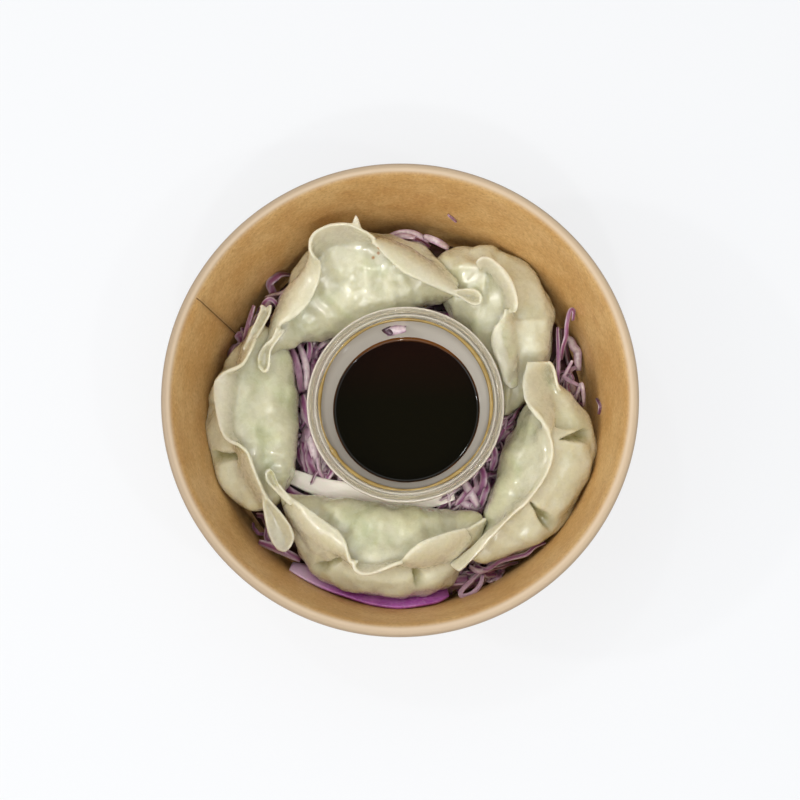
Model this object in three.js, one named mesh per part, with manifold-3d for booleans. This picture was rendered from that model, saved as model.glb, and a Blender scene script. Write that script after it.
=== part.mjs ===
// Take-away bowl of edamame dumplings: a kraft paper bowl with a bed of shredded red cabbage, five
// folded dumplings leaning in a ring round a clear sauce cup, and the soy sauce in the cup.
// Millimetres, +Z up, origin on the table under the middle of the bowl.

import * as THREE from 'three';
import { ParametricGeometry } from 'three/addons/geometries/ParametricGeometry.js';
import { mergeVertices } from 'three/addons/utils/BufferGeometryUtils.js';
import Module from 'manifold-3d';

const wasm = await Module();
wasm.setup();

// Gap left between two pieces that touch.
const GAP = 0.32;

// Paper bowl.
const BOWL_HEIGHT = 60;
const RIM_RADIUS = 75;
const FOOT_RADIUS = 64;
const PAPER = 0.9;
const BEAD_RADIUS = 1.9;
const RECESS = 6;
const SKIRT = 1.7;
const BOWL_SIDES = 48;

// Clear sauce cup, standing on the cabbage.
const CUP_X = 1.6;
const CUP_Y = -0.6;
const CUP_FOOT_Z = 12.2;
const CUP_TOP_Z = 43;
const CUP_RADIUS = 32.1;
const CUP_MOUTH = 28;
const CUP_FOOT = 20.6;
const CUP_WALL = 0.8;
const CUP_SIDES = 34;
const ROOM = 0.8;
const SOY_LEVEL = 28;

// Wrapper dough of the dumplings: thickness of the doubled frill and of an open end's single layer.
const DOUGH = 1.5;
const SPOON_WALL = 1.25;
// How round a section is, from 2 for an ellipse upwards, and how far down the pinch at the seam draws it.
const SECTION_POWER = 2.25;
const PINCH_SPREAD = 0.95;
const PINCH_DEPTH = 3.6;
// The frill starts this far below the seam, and upright for it means tipped this far outwards.
const FRILL_ROOT = 2.2;
const SEAM_TIP = 0.42;
const BODY_STEPS = 17;
const BODY_SIDES = 12;
const FRILL_STEPS = 19;

// Cabbage bed.
const BED_FLOOR = RECESS + PAPER + GAP;
const BED_TOP = 14.2;
const BED_SIDES = 20;
// Room that the packed bed leaves round each dumpling's body.
const HOLLOW = 1.5;

const rad = (degrees) => degrees * Math.PI / 180;
const mix = (a, b, k) => a + (b - a) * k;
const clamp = (k) => Math.min(1, Math.max(0, k));
const ease = (k) => clamp(k) ** 2 * (3 - 2 * clamp(k));

// A seeded draw, so that the cabbage always falls the same way.
function draws(seed) {
  let state = seed;
  return (low, high) => {
    state = (state * 1664525 + 1013904223) % 4294967296;
    return mix(low, high, state / 4294967296);
  };
}

// A row of numbers on the smooth line through evenly spaced rows.
function between(rows, t) {
  const place = clamp(t) * (rows.length - 1);
  const at = Math.min(Math.floor(place), rows.length - 2);
  const k = place - at;
  const row = (n) => {
    if (n < 0) return rows[0].map((v, c) => 2 * v - rows[1][c]);
    if (n >= rows.length) return rows.at(-1).map((v, c) => 2 * v - rows.at(-2)[c]);
    return rows[n];
  };
  const [a, b, c, d] = [row(at - 1), row(at), row(at + 1), row(at + 2)];
  return b.map((v, n) => v + 0.5 * k * (c[n] - a[n]
    + k * (2 * a[n] - 5 * v + 4 * c[n] - d[n] + k * (3 * (v - c[n]) + d[n] - a[n]))));
}

// The values of a list of [place, ...values], eased from one place to the next.
function keyed(keys, t) {
  const next = keys.findIndex((key) => key[0] >= t);
  if (next === 0) return keys[0].slice(1);
  if (next < 0) return keys.at(-1).slice(1);
  const [a, b] = [keys[next - 1], keys[next]];
  const k = ease((t - a[0]) / (b[0] - a[0]));
  return a.slice(1).map((v, n) => mix(v, b[n + 1], k));
}

// Closed solid from a geometry: shared corners merged, triangles without area left out.
function solidOf(geometry) {
  geometry.deleteAttribute('normal');
  geometry.deleteAttribute('uv');
  const welded = mergeVertices(geometry, 1e-4);
  const corners = welded.index.array;
  const triangles = [];
  for (let n = 0; n < corners.length; n += 3) {
    const [a, b, c] = corners.slice(n, n + 3);
    if (a !== b && b !== c && c !== a) triangles.push(a, b, c);
  }
  const make = (list) => new wasm.Manifold(new wasm.Mesh({
    numProp: 3,
    vertProperties: Float32Array.from(welded.attributes.position.array),
    triVerts: Uint32Array.from(list),
  }));
  const solid = make(triangles);
  if (solid.volume() > 0) return solid;
  for (let n = 0; n < triangles.length; n += 3) {
    [triangles[n], triangles[n + 1]] = [triangles[n + 1], triangles[n]];
  }
  return make(triangles);
}

// Closed skin: point(t, n) goes along with t from 0 to 1 and once round with n from 0 to sides.
function skin(point, steps, sides) {
  const place = (u, v, target) => target.copy(point(v, Math.round(u * sides) % sides));
  return solidOf(new ParametricGeometry(place, sides, steps));
}

// Closed skin of a bent sheet. middle(t, k) is a point of the sheet and the way out of its face,
// with k from 0 to 1 across it; half(t, k) is half its thickness there.
function sheet(middle, half, steps, cuts) {
  const last = steps + 2;
  return skin((t, n) => {
    const step = Math.round(t * last);
    const along = clamp((step - 1) / steps);
    const front = n <= cuts;
    const k = (front ? n : 2 * cuts + 1 - n) / cuts;
    const { point, face } = middle(along, k);
    const thick = step === 0 || step === last ? 0 : half(along, k);
    return point.addScaledVector(face, front ? thick : -thick);
  }, last, 2 * cuts + 2);
}

// The largest single piece of a solid: loose scraps of a cut fall away.
function whole(solid) {
  const pieces = solid.decompose();
  return pieces.reduce((best, piece) => (piece.volume() > best.volume() ? piece : best));
}

function meshOf(name, solid, colour, roughness) {
  const cut = solid.getMesh();
  const geometry = new THREE.BufferGeometry();
  geometry.setAttribute('position', new THREE.BufferAttribute(cut.vertProperties, 3));
  geometry.setIndex(new THREE.BufferAttribute(cut.triVerts, 1));
  geometry.computeVertexNormals();
  const material = new THREE.MeshStandardMaterial({ color: colour, roughness, metalness: 0 });
  const mesh = new THREE.Mesh(geometry, material);
  mesh.name = name;
  return mesh;
}

// A lathe profile of [radius, height] turned about an upright axis at x, y.
function turned(profile, sides, x = 0, y = 0) {
  const points = profile.map(([r, z]) => new THREE.Vector2(r, z));
  const geometry = new THREE.LatheGeometry(points, sides);
  geometry.rotateX(Math.PI / 2);
  geometry.translate(x, y, 0);
  return solidOf(geometry);
}

// Paper bowl: tapered wall, rolled rim, floor raised inside a folded foot ring.
const wallOut = (z) => mix(FOOT_RADIUS, RIM_RADIUS - 2 * BEAD_RADIUS + PAPER, z / BOWL_HEIGHT);
const wallIn = (z) => wallOut(z) - PAPER;

function bowl() {
  const bead = [RIM_RADIUS - BEAD_RADIUS, BOWL_HEIGHT - BEAD_RADIUS];
  const profile = [
    [0, RECESS],
    [FOOT_RADIUS - SKIRT - 0.4, RECESS],
    [FOOT_RADIUS - SKIRT - 0.2, 0],
    [FOOT_RADIUS, 0],
    [wallOut(28), 28],
    [wallOut(55), 55],
  ];
  for (let n = 0; n <= 8; n += 1) {
    const angle = rad(30 * n - 90);
    profile.push([bead[0] + BEAD_RADIUS * Math.cos(angle), bead[1] + BEAD_RADIUS * Math.sin(angle)]);
  }
  profile.push(
    [wallIn(53), 53],
    [wallIn(30), 30],
    [wallIn(RECESS + 2.4), RECESS + 2.4],
    [wallIn(RECESS) - 1.3, RECESS + PAPER + 0.2],
    [FOOT_RADIUS - 4.6, RECESS + PAPER],
    [0, RECESS + PAPER],
  );
  return turned(profile, BOWL_SIDES);
}

// Sauce cup: thin tapered wall, ribbed flange with a groove for the lid, turned-down lip.
const cupOut = (z) => mix(CUP_FOOT, CUP_MOUTH + CUP_WALL, (z - CUP_FOOT_Z) / (CUP_TOP_Z - 2.2 - CUP_FOOT_Z));
const cupIn = (z) => cupOut(z) - CUP_WALL;

function sauceCup() {
  const rim = CUP_TOP_Z;
  const lip = CUP_RADIUS;
  const profile = [
    [0, CUP_FOOT_Z + 0.5],
    [CUP_FOOT - 3, CUP_FOOT_Z + 0.5],
    [CUP_FOOT - 2.2, CUP_FOOT_Z],
    [CUP_FOOT - 0.8, CUP_FOOT_Z],
    [cupOut(CUP_FOOT_Z + 1.2), CUP_FOOT_Z + 1.2],
    [cupOut(rim - 3), rim - 3],
    [lip - 1.7, rim - 2.1],
    [lip - 0.9, rim - 3.6],
    [lip, rim - 3.6],
    [lip, rim - 0.5],
    [lip - 0.6, rim],
    [lip - 1.6, rim - 0.1],
    [lip - 2.3, rim - 0.9],
    [lip - 2.9, rim - 0.4],
    [CUP_MOUTH + 0.6, rim - 0.5],
    [CUP_MOUTH + 0.2, rim - 1.4],
    [cupIn(rim - 2.8), rim - 2.8],
    [cupIn(SOY_LEVEL), SOY_LEVEL],
    [cupIn(CUP_FOOT_Z + 1.9), CUP_FOOT_Z + 1.9],
    [CUP_FOOT - 2.2, CUP_FOOT_Z + 1.3],
    [0, CUP_FOOT_Z + 1.3],
  ];
  return turned(profile, CUP_SIDES, CUP_X, CUP_Y);
}

// Soy sauce: fills the cup to its level, with a slight creep up at the wall.
function soySauce() {
  const foot = CUP_FOOT_Z + 1.3 + GAP;
  const profile = [
    [0, foot],
    [CUP_FOOT - 2.6, foot],
    [cupIn(foot + 0.7) - GAP, foot + 0.7],
    [cupIn(SOY_LEVEL + 0.5) - GAP, SOY_LEVEL + 0.5],
    [cupIn(SOY_LEVEL) - GAP - 1.2, SOY_LEVEL],
    [0, SOY_LEVEL],
  ];
  return turned(profile, CUP_SIDES, CUP_X, CUP_Y);
}

// Room that the cup needs in what lies round it.
function cupRoom() {
  const profile = [
    [0, CUP_FOOT_Z - GAP],
    [CUP_FOOT + ROOM, CUP_FOOT_Z - GAP],
    [cupOut(CUP_TOP_Z - 3) + ROOM, CUP_TOP_Z - 4],
    [CUP_RADIUS + ROOM, CUP_TOP_Z - 4],
    [CUP_RADIUS + ROOM, CUP_TOP_Z + 1],
    [0, CUP_TOP_Z + 1],
  ];
  return turned(profile, 24, CUP_X, CUP_Y);
}

// Room inside the bowl: what lies in it stays inside this.
function bowlRoom() {
  const profile = [
    [0, BED_FLOOR],
    [FOOT_RADIUS - 4.9, BED_FLOOR],
    [wallIn(RECESS + 3.4) - GAP - 0.3, RECESS + 3.4],
    [wallIn(BOWL_HEIGHT) - GAP - 0.3, BOWL_HEIGHT],
    [0, BOWL_HEIGHT],
  ];
  return turned(profile, BOWL_SIDES);
}

// The five dumplings. stations go from one tip to the other:
// [seam x, seam y, seam z, inner edge x, y, outer edge x, y, underside z].
// frill: [place along the seam, lean in degrees from upright (+ outwards), width].
// pleats: [place, depth, width of the fold along the seam].
// mouths: open ends where the two layers of the wrapper part,
// { neck, tip, width, depth, roll in degrees, flare past the tip }.
const DUMPLINGS = {
  dumpling_nw: {
    stations: [
      [-46.1, 15.2, 31.5, -45.1, 15.2, -46.4, 17.2, 28.5],
      [-43, 24.2, 31.5, -38.1, 20.6, -45.6, 26.7, 22],
      [-38.8, 33.7, 32.5, -31.1, 23.2, -42.1, 36.2, 15],
      [-33.6, 43.2, 35.5, -21.6, 25.7, -37.6, 48.2, 13],
      [-24.6, 51.2, 38, -11.6, 27.2, -28.6, 57.2, 13],
      [-11.6, 54.2, 39, -2.1, 30.2, -12.6, 60.7, 13],
      [-0.6, 50.2, 37.5, 6.4, 34.5, 1.9, 58.2, 13],
      [10.4, 43.7, 35, 12.4, 36.7, 10.9, 52.7, 15.5],
      [18.9, 38.7, 33, 18.4, 37.2, 19.9, 40.2, 29],
    ],
    frill: [[0, -30, 3], [0.1, -70, 7], [0.22, -108, 10.5], [0.35, -104, 10.5], [0.43, -45, 9],
      [0.49, 15, 9], [0.56, 20, 9], [0.62, -40, 9.5], [0.69, -84, 10.5], [0.82, -92, 9.5],
      [0.92, -85, 7], [1, -70, 5]],
    pleats: [[0.3, 3, 0.03], [0.5, 3, 0.03], [0.7, 3.4, 0.03], [0.82, 2.6, 0.025]],
    mouths: [
      { neck: [-40.6, 28.2, 33.5], tip: [-48.2, 10.8, 32.5], width: 5.6, depth: 3, roll: -12 },
      { neck: [15.4, 37.7, 35.5], tip: [29, 35.6, 33.5], width: 6, depth: 3.2, roll: 10 },
    ],
  },
  dumpling_w: {
    stations: [
      [-48.4, 29.4, 30, -46.9, 29, -50.3, 28.3, 24],
      [-50.6, 24.7, 32, -40.6, 24.2, -54.1, 24.2, 17],
      [-53.2, 16.7, 34, -36.6, 15.2, -60.1, 16.7, 14],
      [-55.2, 6.7, 36, -35.4, 5.7, -64.8, 6.7, 13],
      [-56.2, -3.3, 36.5, -35.2, -4.8, -66, -3.8, 13],
      [-53.4, -12.8, 35.5, -35.4, -14.8, -64.8, -13.8, 13],
      [-50.4, -21.8, 33.5, -36.6, -22.3, -63, -22.3, 14],
      [-47.1, -28.8, 31, -39.1, -27.8, -56.4, -30.8, 17],
      [-43.8, -34.3, 29, -42.4, -33.3, -46.6, -35.8, 23],
    ],
    frill: [[0, -15, 5], [0.15, -12, 7.5], [0.31, 0, 8.5], [0.37, 36, 9], [0.44, 16, 7.5],
      [0.51, 30, 8], [0.58, 20, 8], [0.65, -12, 8], [0.75, -28, 8], [0.9, -20, 6.5], [1, 0, 4]],
    pleats: [[0.28, 2.4, 0.03], [0.43, 2.6, 0.03], [0.65, 4.2, 0.03], [0.8, 2.4, 0.03]],
    mouths: [
      { neck: [-50.6, 24, 33], tip: [-46.8, 31.8, 31], width: 5, depth: 3.4, roll: 0, flare: 2.6 },
      { neck: [-45, -31.8, 30.5], tip: [-38, -48.8, 27], width: 7.2, depth: 3.2, roll: 0 },
    ],
  },
  dumpling_s: {
    stations: [
      [-41.6, -28.3, 28.5, -40.8, -27.6, -41.1, -30.8, 24],
      [-37.1, -35.8, 29.5, -34.9, -28, -36.8, -42.3, 16],
      [-30.1, -43.4, 32, -27.6, -29, -33.1, -51.3, 13.5],
      [-20.6, -49.2, 35, -18.6, -30.2, -24.6, -58.8, 13],
      [-8.6, -51.8, 37.5, -7.6, -31.4, -8.6, -63.8, 13],
      [4.4, -51.2, 36.5, 4.4, -32.4, 4.9, -64.3, 13],
      [15.4, -48.2, 33, 14.9, -33.5, 15.4, -59.3, 13.5],
      [22.9, -42.8, 30, 22.4, -34.4, 20.9, -50.8, 17],
      [28.4, -37.2, 28, 28, -35.8, 27.9, -38.8, 24],
    ],
    frill: [[0, -50, 5], [0.12, -90, 8], [0.29, -112, 10], [0.37, -90, 9.5], [0.43, 0, 8], [0.5, 8, 7.5],
      [0.57, -20, 8], [0.63, -80, 9], [0.76, -105, 9.5], [0.9, -95, 7], [1, -60, 4]],
    pleats: [[0.33, 4.4, 0.032], [0.5, 2, 0.03], [0.62, 3.8, 0.03], [0.78, 2, 0.03]],
    mouths: [
      { neck: [-35.6, -34.8, 33.5], tip: [-46, -19.4, 33.5], width: 5.4, depth: 2.6, roll: -8 },
    ],
  },
  dumpling_e: {
    stations: [
      [48, 10.7, 32.5, 45.9, 9.2, 50.9, 9.7, 29],
      [47, 3.7, 34, 41.9, 1.7, 57.4, 3.7, 21],
      [44.8, -5.2, 35.3, 36.9, -6.8, 63.4, -4.3, 14],
      [44.2, -14, 36, 33.6, -14.8, 65, -12.8, 13],
      [42.6, -21.4, 35.2, 31.2, -23.3, 62.4, -23.3, 13],
      [38.6, -28.2, 33.5, 28.7, -29.3, 57.4, -33.8, 13],
      [33.4, -34.4, 31.5, 27.4, -34.3, 49.9, -42.3, 13.5],
      [27.8, -42.4, 29.5, 27.6, -40.8, 38.9, -48.3, 17],
      [21.9, -51.4, 28.6, 22.4, -50.3, 24, -53.2, 26],
    ],
    frill: [[0, -70, 9], [0.12, -85, 10], [0.2, -50, 9.5], [0.28, -4, 9], [0.4, 15, 9], [0.55, 17, 9],
      [0.7, 14, 8.5], [0.82, 18, 7.5], [0.92, 30, 6.5], [1, 25, 5.5]],
    pleats: [[0.27, 2.2, 0.03], [0.41, 4.6, 0.032], [0.68, 4.4, 0.032], [0.82, 2.4, 0.03]],
    mouths: [
      { neck: [45.2, 2.2, 38.5], tip: [45.2, 13, 35], width: 6.2, depth: 3.4, roll: 12, flare: 1.4 },
      { neck: [26.4, -47.4, 31.5], tip: [15.8, -54.8, 28.6], width: 4.6, depth: 1.8, roll: 8, flare: 1 },
    ],
  },
  dumpling_ne: {
    stations: [
      [10.9, 47.7, 28, 11.4, 45.2, 10.9, 50.2, 22],
      [17.4, 48.2, 31.5, 14.4, 36.7, 15.9, 56.2, 15],
      [24.9, 47.2, 34.5, 18.4, 30, 23.9, 56.2, 13],
      [31.4, 43.6, 36.5, 24, 23.4, 33.4, 54, 13],
      [35.4, 36.8, 37, 28.4, 16.8, 44.4, 45.5, 13],
      [36.4, 28, 35.5, 31.8, 10.2, 51, 32.5, 13],
      [36.4, 19, 32, 33.4, 5.2, 50, 19.2, 13.5],
      [36.4, 9.7, 27.5, 34, 1.7, 46.4, 8.2, 13.5],
      [36.2, -1.2, 20, 35, -3, 38.4, -1.2, 15],
    ],
    frill: [[0, 0, 1.5], [0.22, 0, 2.5], [0.3, 22, 6.5], [0.38, 14, 6.5], [0.5, 12, 6.5], [0.56, 0, 7],
      [0.6, -50, 8.5], [0.68, -104, 10], [0.76, -98, 8.5], [0.85, -60, 4], [0.92, -30, 2], [1, 0, 1]],
    pleats: [[0.13, 2, 0.03], [0.24, 2, 0.025], [0.36, 2.6, 0.03], [0.62, 3.4, 0.03], [0.78, 2, 0.03]],
    mouths: [],
  },
};

// The pieces that lie on another: each lower one is pressed in by the ones above it.
const LYING_ON = {
  dumpling_ne: ['dumpling_nw', 'dumpling_e'],
  dumpling_w: ['dumpling_nw', 'dumpling_s'],
  dumpling_s: ['dumpling_e'],
};

// Seam line of a dumpling: its point, its direction, the way up off the filling and the way out.
function seamFrame(stations, t) {
  const at = (k) => new THREE.Vector3(...between(stations, k));
  const point = at(t);
  const along = at(Math.min(1, t + 0.01)).sub(at(Math.max(0, t - 0.01))).normalize();
  const out = new THREE.Vector3(-along.y, along.x, 0).normalize();
  if (out.x * point.x + out.y * point.y < 0) out.negate();
  const up = new THREE.Vector3(0, 0, 1).addScaledVector(out, SEAM_TIP);
  up.addScaledVector(along, -up.dot(along)).normalize();
  out.addScaledVector(along, -out.dot(along));
  out.addScaledVector(up, -out.dot(up)).normalize();
  return { point, along, up, out };
}

// How far the pleats pull the outer side in: a sharp fold on one side, a slow swell on the other.
function pleatDepth(pleats, t) {
  return pleats.reduce((sum, [place, depth, width]) => {
    const off = (t - place) / width;
    return sum + depth * Math.exp(-((off < 0 ? off * 1.5 : off / 1.7) ** 2));
  }, 0);
}

// Filled body: sections between the inner and the outer edge, each drawn up to the seam.
function dumplingBody({ stations, pleats }, grow, steps = BODY_STEPS, sides = BODY_SIDES) {
  return skin((t, n) => {
    const v = n / sides;
    const [sx, sy, sz, ix, iy, ox, oy, floor] = between(stations, t);
    const taper = ease(Math.min(t, 1 - t) / 0.035);
    const half = Math.hypot(ox - ix, oy - iy) / 2 + grow;
    const across = [(ox - ix) / 2 / (half - grow), (oy - iy) / 2 / (half - grow)];
    const middle = [(ox + ix) / 2, (oy + iy) / 2];
    const pinch = PINCH_DEPTH * ease(Math.min(t, 1 - t) / 0.3);
    const rise = (sz - pinch - floor) / 2 + grow;
    const centre = floor + rise - grow;
    const reach = (angle) => (Math.abs(Math.cos(angle) / half) ** SECTION_POWER
      + Math.abs(Math.sin(angle) / rise) ** SECTION_POWER) ** (-1 / SECTION_POWER);
    const off = (sx - middle[0]) * across[0] + (sy - middle[1]) * across[1];
    const skew = -(sx - middle[0]) * across[1] + (sy - middle[1]) * across[0];
    const seamAngle = Math.atan2(sz - centre, off);
    const seamReach = Math.hypot(sz - centre, off) + grow;
    const angle = seamAngle + 2 * Math.PI * v;
    const turn = Math.abs(v > 0.5 ? v - 1 : v) * 2 * Math.PI;
    const pull = clamp(1 - turn / PINCH_SPREAD) ** 2;
    const pleat = v > 0.5 ? pleatDepth(pleats, t) * Math.sin(Math.PI * clamp(turn / 1.9)) ** 0.8 : 0;
    const r = mix(reach(angle), seamReach, pull) - pleat * ease(Math.min(t, 1 - t) / 0.12);
    const y = r * Math.cos(angle) * taper + (1 - taper) * off;
    const z = r * Math.sin(angle) * taper + (1 - taper) * (sz - centre);
    const slide = skew * mix(pull, 1, 1 - taper);
    return new THREE.Vector3(
      middle[0] + across[0] * y - across[1] * slide,
      middle[1] + across[1] * y + across[0] * slide,
      centre + z,
    );
  }, steps, sides);
}

// Seam frill: a strip of doubled dough that stands off the seam and curls to one side or the other.
function dumplingFrill({ stations, frill }, grow) {
  const cuts = 3;
  return sheet((t, k) => {
    const place = mix(0.01, 0.99, t);
    const { point, up, out } = seamFrame(stations, place);
    const [lean, width] = keyed(frill, place);
    const bend = (n) => rad(lean) * mix(0.3, 1.35, n / (cuts - 1));
    const reach = (width + FRILL_ROOT + 2 * grow) / cuts;
    const spot = point.clone().addScaledVector(up, -FRILL_ROOT - grow);
    const cut = Math.round(k * cuts);
    for (let n = 0; n < cut; n += 1) {
      spot.addScaledVector(up, reach * Math.cos(bend(n))).addScaledVector(out, reach * Math.sin(bend(n)));
    }
    const turn = bend(Math.max(0, cut - 0.5));
    const face = up.clone().multiplyScalar(-Math.sin(turn)).addScaledVector(out, Math.cos(turn));
    return { point: spot, face };
  }, (t, k) => DOUGH / 2 * (k > 0.99 ? 0.8 : 1) + grow, FRILL_STEPS, cuts);
}

// Open end of the frill: a trough with a rounded tip, or a flared one that stays open.
function mouth({ neck, tip, width, depth, roll, flare = 0 }, grow) {
  const start = new THREE.Vector3(...neck);
  const axis = new THREE.Vector3(...tip).sub(start);
  const length = axis.length();
  axis.normalize();
  const side = new THREE.Vector3(-axis.y, axis.x, 0).normalize().applyAxisAngle(axis, rad(roll));
  const up = axis.clone().cross(side);
  return sheet((t, k) => {
    const angle = Math.PI * (k - 0.5);
    const round = Math.sqrt(1 - (0.96 * clamp((t - 0.7) / 0.3)) ** 2);
    const open = mix(0.32, 1, ease(t / 0.75)) * (flare > 0 ? 1 : round);
    const face = side.clone().multiplyScalar(Math.sin(angle)).addScaledVector(up, -Math.cos(angle));
    const point = start.clone()
      .addScaledVector(axis, length * t + flare * Math.abs(Math.sin(angle)) ** 2 * t * t)
      .addScaledVector(side, width / 2 * open * Math.sin(angle))
      .addScaledVector(up, depth * (0.5 - Math.min(1, open * 1.3) * Math.cos(angle)));
    return { point, face };
  }, () => SPOON_WALL / 2 + grow, 6, 3);
}

function dumpling(shape, grow) {
  let solid = dumplingBody(shape, grow).add(dumplingFrill(shape, grow));
  for (const end of shape.mouths) solid = solid.add(mouth(end, grow));
  return solid;
}

// Packed middle of the cabbage: a lumpy cushion that fills the foot of the bowl.
function cabbageCore() {
  const rings = 4;
  return skin((t, n) => {
    const ring = Math.round(t * (rings + 1));
    const r = ring === 0 ? 0 : FOOT_RADIUS * (rings + 1 - ring) / rings;
    const turn = 2 * Math.PI * n / BED_SIDES;
    const lump = 0.6 * Math.sin(5 * turn + r / 5) + 0.5 * Math.cos(9 * turn - r / 4);
    const up = ring < 2 ? BED_FLOOR : BED_TOP + lump * Math.min(1, r / 12);
    const reach = ring === 1 ? FOOT_RADIUS : r;
    return new THREE.Vector3(reach * Math.cos(turn), reach * Math.sin(turn), ring === 1 ? BED_FLOOR : up);
  }, rings + 1, BED_SIDES);
}

// A strip of leaf along a bent line, with its width turning as it goes.
function strip(line, width, thick, twist, steps) {
  const curve = new THREE.CatmullRomCurve3(line);
  return sheet((t, k) => {
    const along = curve.getTangent(t);
    const side = new THREE.Vector3(-along.y, along.x, 0).normalize();
    side.applyAxisAngle(along, rad(mix(...twist, t)));
    const face = along.clone().cross(side);
    return { point: curve.getPoint(t).addScaledVector(side, width * (k - 0.5)), face };
  }, () => thick / 2, steps, 1);
}

// Shreds that show between the dumplings, the cup and the wall. Each patch has the middle of its
// strips, the way they run in degrees from +X, their length, how far they spread across and along,
// the height they reach and their number.
const PATCHES = [
  { at: [-29.5, -3], way: 88, length: 26, across: 8, along: 26, up: 18, count: 6 },
  { at: [23, -24], way: 45, length: 20, across: 10, along: 18, up: 18, count: 6 },
  { at: [33, -8], way: 62, length: 14, across: 3, along: 8, up: 17, count: 2 },
  { at: [10, 32], way: 150, length: 14, across: 5, along: 10, up: 17, count: 2 },
  { at: [57, 11], way: 112, length: 26, across: 7, along: 22, up: 26, count: 5 },
  { at: [5, 57.5], way: 176, length: 22, across: 4, along: 10, up: 26, count: 3 },
  { at: [-41, 45], way: 50, length: 22, across: 7, along: 24, up: 25, count: 5 },
  { at: [30, -57], way: 20, length: 22, across: 7, along: 22, up: 22, count: 5 },
  { at: [-45, -46], way: 128, length: 16, across: 5, along: 8, up: 19, count: 2 },
];

function shreds(patch, draw) {
  const { at, way, length, across, along, up, count } = patch;
  const run = [Math.cos(rad(way)), Math.sin(rad(way))];
  const list = [];
  for (let n = 0; n < count; n += 1) {
    const aside = across * ((n + 0.5) / count - 0.5) + draw(-1, 1);
    const ahead = along * draw(-0.5, 0.5);
    const reach = length * draw(0.7, 1.1) / 2;
    const bow = draw(-0.16, 0.16) * length;
    const high = mix(BED_TOP, up, draw(0.3, 1));
    const line = [-1, -0.35, 0.35, 1].map((k) => {
      const off = aside + bow * (1 - k * k) + draw(-0.8, 0.8);
      return new THREE.Vector3(
        at[0] + run[0] * (ahead + reach * k) - run[1] * off,
        at[1] + run[1] * (ahead + reach * k) + run[0] * off,
        mix(BED_TOP - 1, high, 1 - k * k),
      );
    });
    list.push(strip(line, draw(1.8, 3.2), draw(1, 1.5), [draw(-60, 60), draw(-60, 60)], 3));
  }
  return list;
}

// Thick white rib of a leaf, lying along the cup in front of the lower dumpling.
const RIB = {
  line: [[-34, -26, 16.6], [-17, -28.2, 17.2], [0, -28.8, 17.2], [17, -27.4, 17.6]],
  width: 6.4,
  thick: 2.6,
  twist: [-6, 6],
  steps: 10,
};
// Broad piece of purple leaf that stands along the wall under the lower dumpling.
const LEAF = {
  line: [[-38, -53.4, 15.5], [-24, -60.2, 17], [-6, -63.6, 17.5], [14, -62.4, 16.5]],
  width: 8.5,
  thick: 1.2,
  twist: [-38, -52],
  steps: 14,
};

function piece({ line, width, thick, twist, steps }, grow) {
  const points = line.map((row) => new THREE.Vector3(...row));
  return strip(points, width + 2 * grow, thick + 2 * grow, twist, steps);
}

const room = bowlRoom();
const cup = cupRoom();
const names = Object.keys(DUMPLINGS);
const plain = Object.fromEntries(names.map((name) => [name, dumpling(DUMPLINGS[name], 0)]));
const grown = Object.fromEntries(names.map((name) => [name, dumpling(DUMPLINGS[name], GAP)]));

const group = new THREE.Group();
group.add(meshOf('bowl', bowl(), 0xb58d5b, 0.8));
group.add(meshOf('sauce_cup', sauceCup(), 0xc9c5bd, 0.25));
group.add(meshOf('soy_sauce', soySauce(), 0x150c06, 0.08));

for (const name of names) {
  let solid = plain[name].intersect(room).subtract(cup);
  for (const upper of LYING_ON[name] ?? []) solid = solid.subtract(grown[upper]);
  group.add(meshOf(name, whole(solid), 0xc9c6a8, 0.35));
}

// Cabbage: the leaf and the rib lie on the packed bed, and every piece makes way for the food.
function clear(solid, food) {
  return food.reduce((left, body) => left.subtract(body), solid.intersect(room).subtract(cup));
}
const rib = clear(piece(RIB, 0), Object.values(grown));
const leaf = clear(piece(LEAF, 0), Object.values(grown));
const hollows = names.map((name) => dumplingBody(DUMPLINGS[name], HOLLOW, 14, 8));
const draw = draws(7);
let heap = cabbageCore();
for (const patch of PATCHES) {
  for (const shred of shreds(patch, draw)) heap = heap.add(shred);
}
const bed = clear(heap, hollows).subtract(piece(RIB, GAP)).subtract(piece(LEAF, GAP));
group.add(meshOf('cabbage_bed', whole(bed), 0x74455f, 0.6));
group.add(meshOf('cabbage_rib', whole(rib), 0xc9c0b8, 0.5));
group.add(meshOf('cabbage_leaf', whole(leaf), 0x8b5490, 0.45));

export default group;
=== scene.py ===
"""Bowl of edamame dumplings: a kraft paper bowl with shredded red cabbage, five folded dumplings
that lean in a ring round a clear sauce cup, and soy sauce in the cup.

Shapes are worked out in millimetres and scaled to metres when a piece is finished.
"""

import math
import random
from bisect import bisect_right
from functools import partial

import bmesh
import bpy
from bpy.props import FloatProperty, FloatVectorProperty, IntProperty, PointerProperty
from bpy.types import Operator, Panel, PropertyGroup
from mathutils import Matrix, Quaternion, Vector, noise
from mathutils.bvhtree import BVHTree
from mathutils.kdtree import KDTree


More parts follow.
